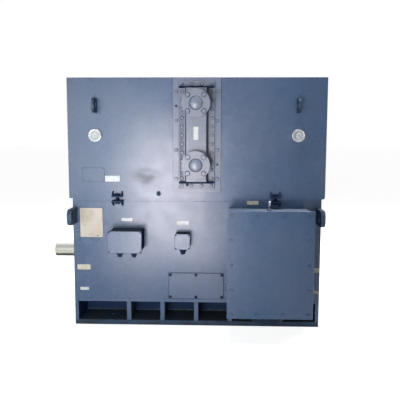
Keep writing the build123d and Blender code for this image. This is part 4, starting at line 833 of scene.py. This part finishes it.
def flange_bolt():
    """A hexagon bolt M16 with its washer, shank and nut, its origin on the flange's near face."""
    part = bmesh.new()
    disc(part, radius=0.0135, thickness=0.0105, segments=6, centre=(0.0, -0.0135, 0.0), ease=0.0012)
    disc(part, radius=0.0150, thickness=0.0030, segments=24, centre=(0.0, -0.0030, 0.0), ease=0.0005)
    disc(part, radius=0.0078, thickness=0.0400, segments=16, centre=(0.0, 0.0, 0.0), ease=0.0005)
    disc(part, radius=0.0138, thickness=0.0130, segments=6, centre=(0.0, 0.0200, 0.0), ease=0.0010)
    return part


flange_bolts, bolt_shade_rings = bmesh.new(), bmesh.new()
hole_out = 0.05303
holes = [
    (HEADER_MIDDLE + side * hole_out, FLANGE_FRONT, z + level * hole_out)
    for z in PIPE_HEIGHTS for side in (-1, 1) for level in (-1, 1)
]
set_down(flange_bolts, flange_bolt(), holes)
# Dark rings of painted shade round the flange bolts.
for x, y, z in holes:
    disc(bolt_shade_rings, 0.0180, 0.0006, 24, (x, y - 0.0003, z))
piece("flange_bolt_shade_rings", bolt_shade_rings, joint_shade)
# A lighter copy of the enamel on the flange bolts: painted highlight.
flange_bolt_finish = painted(
    "flange_bolt_finish", (120, 131, 152),
    Wave=0.0, Peel=1.0, Wear=1.2, Gloss=0.3, Sides=0.85,
)
piece("flange_bolts", flange_bolts, flange_bolt_finish)


# Dial thermometers: steel cases with a white dial behind glass, one near each end of the cooler,
# and the two small drain plugs.

dial_case = metal("dial_case", (0.55, 0.56, 0.58), Gloss=0.25)
dress("dial_thermometers", dial_case, 0.0025, segments=4)
dial_white = painted(
    "dial_white", (182, 189, 196),
    Wave=0.0, Peel=0.2, Gloss=0.4, Cloud=0.3, Dust=0.2, Settled=(0.5, 0.5, 0.5, 1),
)
dial_print = painted("dial_print", (78, 80, 82), Wave=0.0, Peel=0.2, Gloss=0.4, Dust=0.2, Cloud=0.3)
pointer_paint = painted("pointer_paint", (86, 74, 62), Wave=0.0, Peel=0.3, Dust=0.2, Cloud=0.3)
dial_glass = bpy.data.materials.new("dial_glass")
dial_glass.use_nodes = True
clear = dial_glass.node_tree.nodes["Principled BSDF"]
clear.inputs["Base Color"].default_value = (0.97, 0.98, 0.98, 1.0)
clear.inputs["Transmission Weight"].default_value = 1.0
clear.inputs["IOR"].default_value = 1.45
glass = dial_glass.node_tree
smear = add_noise(glass, add_node(glass, "ShaderNodeTexCoord").outputs["Object"], 60.0, 4.0)
glass.links.new(add_band(glass, smear, 0.4, 0.7, 0.02, 0.16), clear.inputs["Roughness"])


def dial_bearing(reading):
    """The angle, up from the right, at which a reading from 0 to 120 stands on the dial."""
    return math.radians(225.0 - 2.25 * reading)


def dial_numbers(work, centre, radius):
    """Plain numbers from 0 to 120 round the scale, cut from flat text."""
    for reading in range(0, 121, 20):
        words = bpy.data.curves.new("scale_number", "FONT")
        words.body = str(reading)
        words.size = 0.0055
        words.align_x = "CENTER"
        words.align_y = "CENTER"
        words.extrude = 0.00008
        holder = bpy.data.objects.new("scale_number", words)
        scene.collection.objects.link(holder)
        cut = bpy.data.meshes.new_from_object(holder.evaluated_get(bpy.context.evaluated_depsgraph_get()))
        bpy.data.objects.remove(holder)
        bpy.data.curves.remove(words)
        bearing = dial_bearing(reading)
        spot = Vector(centre) + Vector((math.cos(bearing) * radius, 0.0, math.sin(bearing) * radius))
        cut.transform(Matrix.Translation(spot) @ Matrix.Rotation(math.radians(90), 4, "X"))
        work.from_mesh(cut)
        bpy.data.meshes.remove(cut)


DIAL_FACE, DIAL_HEIGHT = -0.5608, 1.360
cards, bands, prints, pointers, glasses = bmesh.new(), bmesh.new(), bmesh.new(), bmesh.new(), bmesh.new()
for x, shown_reading in ((-0.700, 38.0), (0.700, 52.0)):
    disc(cards, 0.0372, 0.0008, 48, (x, DIAL_FACE, DIAL_HEIGHT))
    disc(bands, 0.0272, 0.0004, 48, (x, DIAL_FACE - 0.00008, DIAL_HEIGHT))
    disc(cards, 0.0212, 0.0004, 48, (x, DIAL_FACE - 0.00018, DIAL_HEIGHT))
    for tick in range(61):
        length, width = (0.0055, 0.0009) if tick % 5 == 0 else (0.0030, 0.0005)
        stroke = bmesh.new()
        bmesh.ops.create_cube(stroke, size=1.0)
        bmesh.ops.scale(stroke, verts=stroke.verts, vec=(length, 0.00012, width))
        middle = Matrix.Translation((x, DIAL_FACE - 0.00006, DIAL_HEIGHT))
        round_to = Matrix.Rotation(-dial_bearing(tick * 2), 4, "Y")
        set_down(prints, stroke, [middle @ round_to @ Matrix.Translation((0.0335 - length / 2, 0.0, 0.0))])
    dial_numbers(prints, (x, DIAL_FACE - 0.00016, DIAL_HEIGHT), 0.0242)
    hand = bmesh.new()
    bmesh.ops.create_cone(hand, cap_ends=True, segments=4, radius1=0.0016, radius2=0.0003, depth=0.036)
    bmesh.ops.scale(hand, verts=hand.verts, vec=(1.0, 0.18, 1.0))
    leaning = Matrix.Rotation(math.radians(90) - dial_bearing(shown_reading), 4, "Y")
    lay = leaning @ Matrix.Translation((0.0, 0.0, 0.011))
    set_down(pointers, hand, [Matrix.Translation((x, DIAL_FACE - 0.0006, DIAL_HEIGHT)) @ lay])
    disc(pointers, 0.0030, 0.0009, 20, (x, DIAL_FACE - 0.0011, DIAL_HEIGHT), 0.0002)
    disc(glasses, 0.0374, 0.0005, 48, (x, DIAL_FACE - 0.0020, DIAL_HEIGHT))
piece("dial_cards", cards, dial_white)
dial_grey = painted("dial_grey", (112, 116, 120), Wave=0.0, Peel=0.2, Gloss=0.4, Cloud=0.3, Dust=0.2)
piece("dial_bands", bands, dial_grey)
piece("dial_scales", prints, dial_print)
piece("dial_pointers", pointers, pointer_paint)
piece("dial_glasses", glasses, dial_glass)
dark_enamel = painted(
    "dark_plug", (12, 20, 40), shine=0.3, glint=NAVY_GLINT,
    Wave=0.0, Cloud=0.05, Dust=0.5, Wear=0.3, Gloss=0.5,
)
dress("drain_plugs", dark_enamel, 0.0012)


# Main terminal box: a deep sheet steel box with a gasket and a flat cover on fourteen bolts,
# insulators with copper studs inside, an eye bolt on top and the round cable neck below.

# The box's upward faces take a light blue grey: dust and a painted lighter top; its sides carry a little
# painted shade.
box_enamel = painted(
    "box_enamel", (67, 100, 137), shine=0.35,
    Wave=1.2, Settled=(0.31, 0.38, 0.48, 1), Sides=0.25,
)
dress("terminal_box_body", box_enamel, 0.0015)
dress("terminal_box_cover", box_enamel, 0.002)
dress("terminal_cover_bolts", box_enamel, 0.0018)
cover_front = -0.870
# Faint rings of painted shade round the cover bolts.
rings = bmesh.new()
for low, high in shells("terminal_cover_bolts"):
    dirt_ring(rings, low, high, cover_front - 0.0003, 0.0005)
faint_joint_shade = painted(
    "faint_joint_shade", (28, 46, 76), shine=0.2, glint=NAVY_GLINT,
    Wave=0.0, Cloud=0.3, Wear=0.0, Dust=0.3, Gloss=0.6,
)
piece("cover_bolt_shade_rings", rings, faint_joint_shade)
rubber = metal(
    "gasket_rubber", (0.012, 0.012, 0.013), metallic=0.0,
    Gloss=0.6, Across=(300.0, 300.0, 300.0),
)
carry("terminal_box_gasket", rubber)
resin = metal(
    "cast_resin", (0.17, 0.03, 0.015), metallic=0.0,
    Stain=(0.1, 0.02, 0.01, 1), Gloss=0.25, Across=(60.0, 60.0, 60.0),
)
carry("terminal_insulators", resin)
carry("terminal_studs", bars)
# A dark copy of the enamel on the cable neck: painted shade under the box.
neck_enamel = painted(
    "neck_enamel", (34, 48, 66), shine=0.15, glint=NAVY_GLINT,
    Wave=0.0, Cloud=0.3, Peel=2.0, Gloss=0.6, Wear=0.4,
)
dress("cable_entry", neck_enamel, 0.002)
zinc = metal("zinc_plate", (0.22, 0.24, 0.29), Across=(200.0, 200.0, 200.0), Gloss=0.42)
dress("terminal_eye_bolt", zinc, 0.002)


# Auxiliary boxes: two small cast boxes for the instrument wires, their lids on corner screws,
# with cable glands screwed in from below.

# The lids carry painted shade on their sideways faces and tops; the bodies take a darker copy of the enamel
# for painted shade.
aux_enamel = painted("aux_enamel", Wave=0.4, Peel=2.0, Sides=0.85)
shaded_enamel = painted(
    "shaded_enamel", (38, 54, 82), shine=0.1, glint=NAVY_GLINT,
    Wave=0.0, Cloud=0.2, Peel=2.0, Sides=0.8, Gloss=0.6, Wear=0.3,
)
dress("aux_box_bodies", shaded_enamel, 0.002)
dress("aux_box_lids", aux_enamel, 0.0025)
lid_screws = bmesh.new()
screw_inset = 0.0085
for x, z, half_width, half_height, front in (
    (-0.481, 0.636, 0.116, 0.076, -0.690), (-0.092, 0.629, 0.054, 0.055, -0.620),
):
    for side in (-1, 1):
        for level in (-1, 1):
            out, up = side * (half_width - screw_inset), level * (half_height - screw_inset)
            disc(lid_screws, 0.0060, 0.0120, 20, (x + out, front - 0.0016, z + up), 0.0006)
piece("lid_screws", lid_screws, grimy_bolts)
gland_enamel = painted(
    "gland_enamel", (16, 30, 56), shine=0.3, glint=NAVY_GLINT,
    Wave=0.0, Cloud=0.05, Dust=0.5, Wear=0.2, Gloss=0.5,
)
glands = bmesh.new()
gland_line = [
    (0.009, -0.004), (0.009, -0.046), (0.0135, -0.048), (0.0155, -0.045), (0.0165, -0.036),
    (0.0175, -0.034), (0.0230, -0.019), (0.0240, -0.0125), (0.012, -0.0125), (0.009, -0.004),
]
for x, y, z in ((-0.531, -0.598, 0.564), (-0.431, -0.598, 0.564), (-0.092, -0.563, 0.578)):
    nut = bmesh.new()
    bmesh.ops.create_cone(nut, cap_ends=True, segments=6, radius1=0.026, radius2=0.026, depth=0.012)
    ease_edges(nut, 0.001, 2)
    set_down(glands, nut, [(x, y, z - 0.006)])
    turned(glands, gland_line, (x, y, z))
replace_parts(piece("cable_gland_set", glands, gland_enamel), "cable_glands")


# Plates: the big cream nameplate on four rivets, small plain labels with dark lines of painted
# shade round them, and an old plate low on the cooler that was painted over with it.

def make_print_effect():
    """A printed sheet gone patchy: the ground colour, faded clouds, brown specks and a dull film."""
    tree, given, where = effect("faded_print", [
        ("Ground", "NodeSocketColor", (0.6, 0.6, 0.6, 1.0)),
        ("Faded", "NodeSocketColor", (0.5, 0.5, 0.5, 1.0)),
        ("Size", "NodeSocketFloat", 14.0),
    ])
    cloud_scale = {"Vector": where, "Scale": given["Size"], "Detail": 4.0}
    cloud = add_node(tree, "ShaderNodeTexNoise", cloud_scale).outputs["Fac"]
    fine = add_noise(tree, where, 190.0, 3.0)
    colour = add_blend(tree, add_band(tree, cloud, 0.36, 0.64), given["Ground"], given["Faded"])
    colour = add_blend(tree, add_band(tree, fine, 0.60, 0.74, 0.0, 0.35), colour, (0.30, 0.27, 0.20, 1.0))
    rough = add_band(tree, cloud, 0.3, 0.7, 0.28, 0.50)
    return close_effect(tree, colour, rough, add_math(tree, "MULTIPLY", fine, 0.02))


faded_print = make_print_effect()


def printed_plate(name, ground, faded, size=14.0):
    """Plain sheet metal, painted or printed in one colour that has faded in clouds."""
    settings = {"Ground": paint_tone(*ground), "Faded": paint_tone(*faded), "Size": size}
    return surfaced(name, faded_print, settings)


left, right, bottom, top = -0.824, -0.664, 0.641, 0.849
plate, border, rivets = bmesh.new(), bmesh.new(), bmesh.new()
slab(plate, (left, -FRAME_SIDE - 0.0015, bottom), (right, -FRAME_SIDE + 0.0005, top), 0.002, 0.0003)
cream = printed_plate("cream_plate", (203, 198, 184), (182, 175, 157), 9.0)
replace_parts(piece("nameplate_sheet", plate, cream), "nameplate")
border_width, rivet_inset = 0.007, 0.0045
for x0, z0, x1, z1 in (
    (left, bottom, right, bottom + border_width), (left, top - border_width, right, top),
    (left, bottom, left + border_width, top), (right - border_width, bottom, right, top),
):
    slab(border, (x0, -FRAME_SIDE - 0.0023, z0), (x1, -FRAME_SIDE - 0.0010, z1), 0.0, 0.0004)
for x in (left + rivet_inset, right - rivet_inset):
    for z in (bottom + rivet_inset, top - rivet_inset):
        disc(border, 0.0030, 0.0014, 20, (x, -FRAME_SIDE - 0.0034, z), 0.0009)
# A dark stud and a short scratch on the nameplate, then the rivets of the old plate.
disc(rivets, 0.0045, 0.0016, 20, (-0.699, -FRAME_SIDE - 0.0028, 0.650), 0.0010)
slab(rivets, (-0.801, -FRAME_SIDE - 0.0018, 0.7280), (-0.782, -FRAME_SIDE - 0.0014, 0.7295))
for x in (-0.790, -0.648):
    for z in (1.045, 1.129):
        disc(rivets, 0.0030, 0.0020, 20, (x, -COOLER_SIDE - 0.0032, z), 0.0010)
border_print = printed_plate("plate_border", (218, 215, 204), (200, 196, 184))
piece("nameplate_border", border, border_print)
piece("plate_rivets", rivets, grimy_bolts)

white_label = printed_plate("white_label", (222, 230, 231), (206, 214, 214), 60.0)
warm_label = printed_plate("warm_label", (216, 215, 198), (198, 195, 172), 60.0)
whites, warms, covered, rims = bmesh.new(), bmesh.new(), bmesh.new(), bmesh.new()
slab(covered, (-0.796, -COOLER_SIDE - 0.0016, 1.039), (-0.642, -COOLER_SIDE + 0.0004, 1.135), 0.004, 0.0006)
low = (left - 0.0015, -FRAME_SIDE - 0.0006, bottom - 0.0015)
high = (right + 0.0015, -FRAME_SIDE + 0.0005, top + 0.0015)
# Dark rims of painted shade round the nameplate, the old plate and the labels.
slab(rims, low, high, 0.005)
slab(rims, (-0.7972, -COOLER_SIDE - 0.0006, 1.0378), (-0.6408, -COOLER_SIDE + 0.0005, 1.1362), 0.005)
for labels, left, right, bottom, top, wall in (
    (whites, -0.639, -0.535, 1.038, 1.080, -COOLER_SIDE),
    (whites, -0.531, -0.451, 0.756, 0.780, -FRAME_SIDE),
    (whites, -0.138, -0.053, 0.733, 0.761, -FRAME_SIDE),
    (whites, -0.833, -0.771, 0.254, 0.276, -FRAME_SIDE),
    (warms, 0.832, 0.873, 0.398, 0.431, -FRAME_SIDE),
    (warms, 0.832, 0.873, 0.245, 0.265, -FRAME_SIDE),
    (warms, 0.356, 0.437, 0.879, 0.906, -FRAME_SIDE),
    (warms, -0.852, -0.757, 0.404, 0.441, -FRAME_SIDE),
):
    slab(labels, (left, wall - 0.0012, bottom), (right, wall + 0.0004, top), 0.003, 0.0003)
    low = (left - 0.0012, wall - 0.0005, bottom - 0.0014)
    high = (right + 0.0014, wall + 0.0004, top + 0.0006)
    slab(rims, low, high, 0.004)
header_front = -0.667
slab(whites, (-0.013, header_front - 0.0012, 1.332), (0.019, header_front + 0.0004, 1.419), 0.003, 0.0003)
piece("plate_rims", rims, joint_shade)
piece("white_labels", whites, white_label)
piece("warm_labels", warms, warm_label)
piece("painted_over_plate", covered, cooler_enamel)
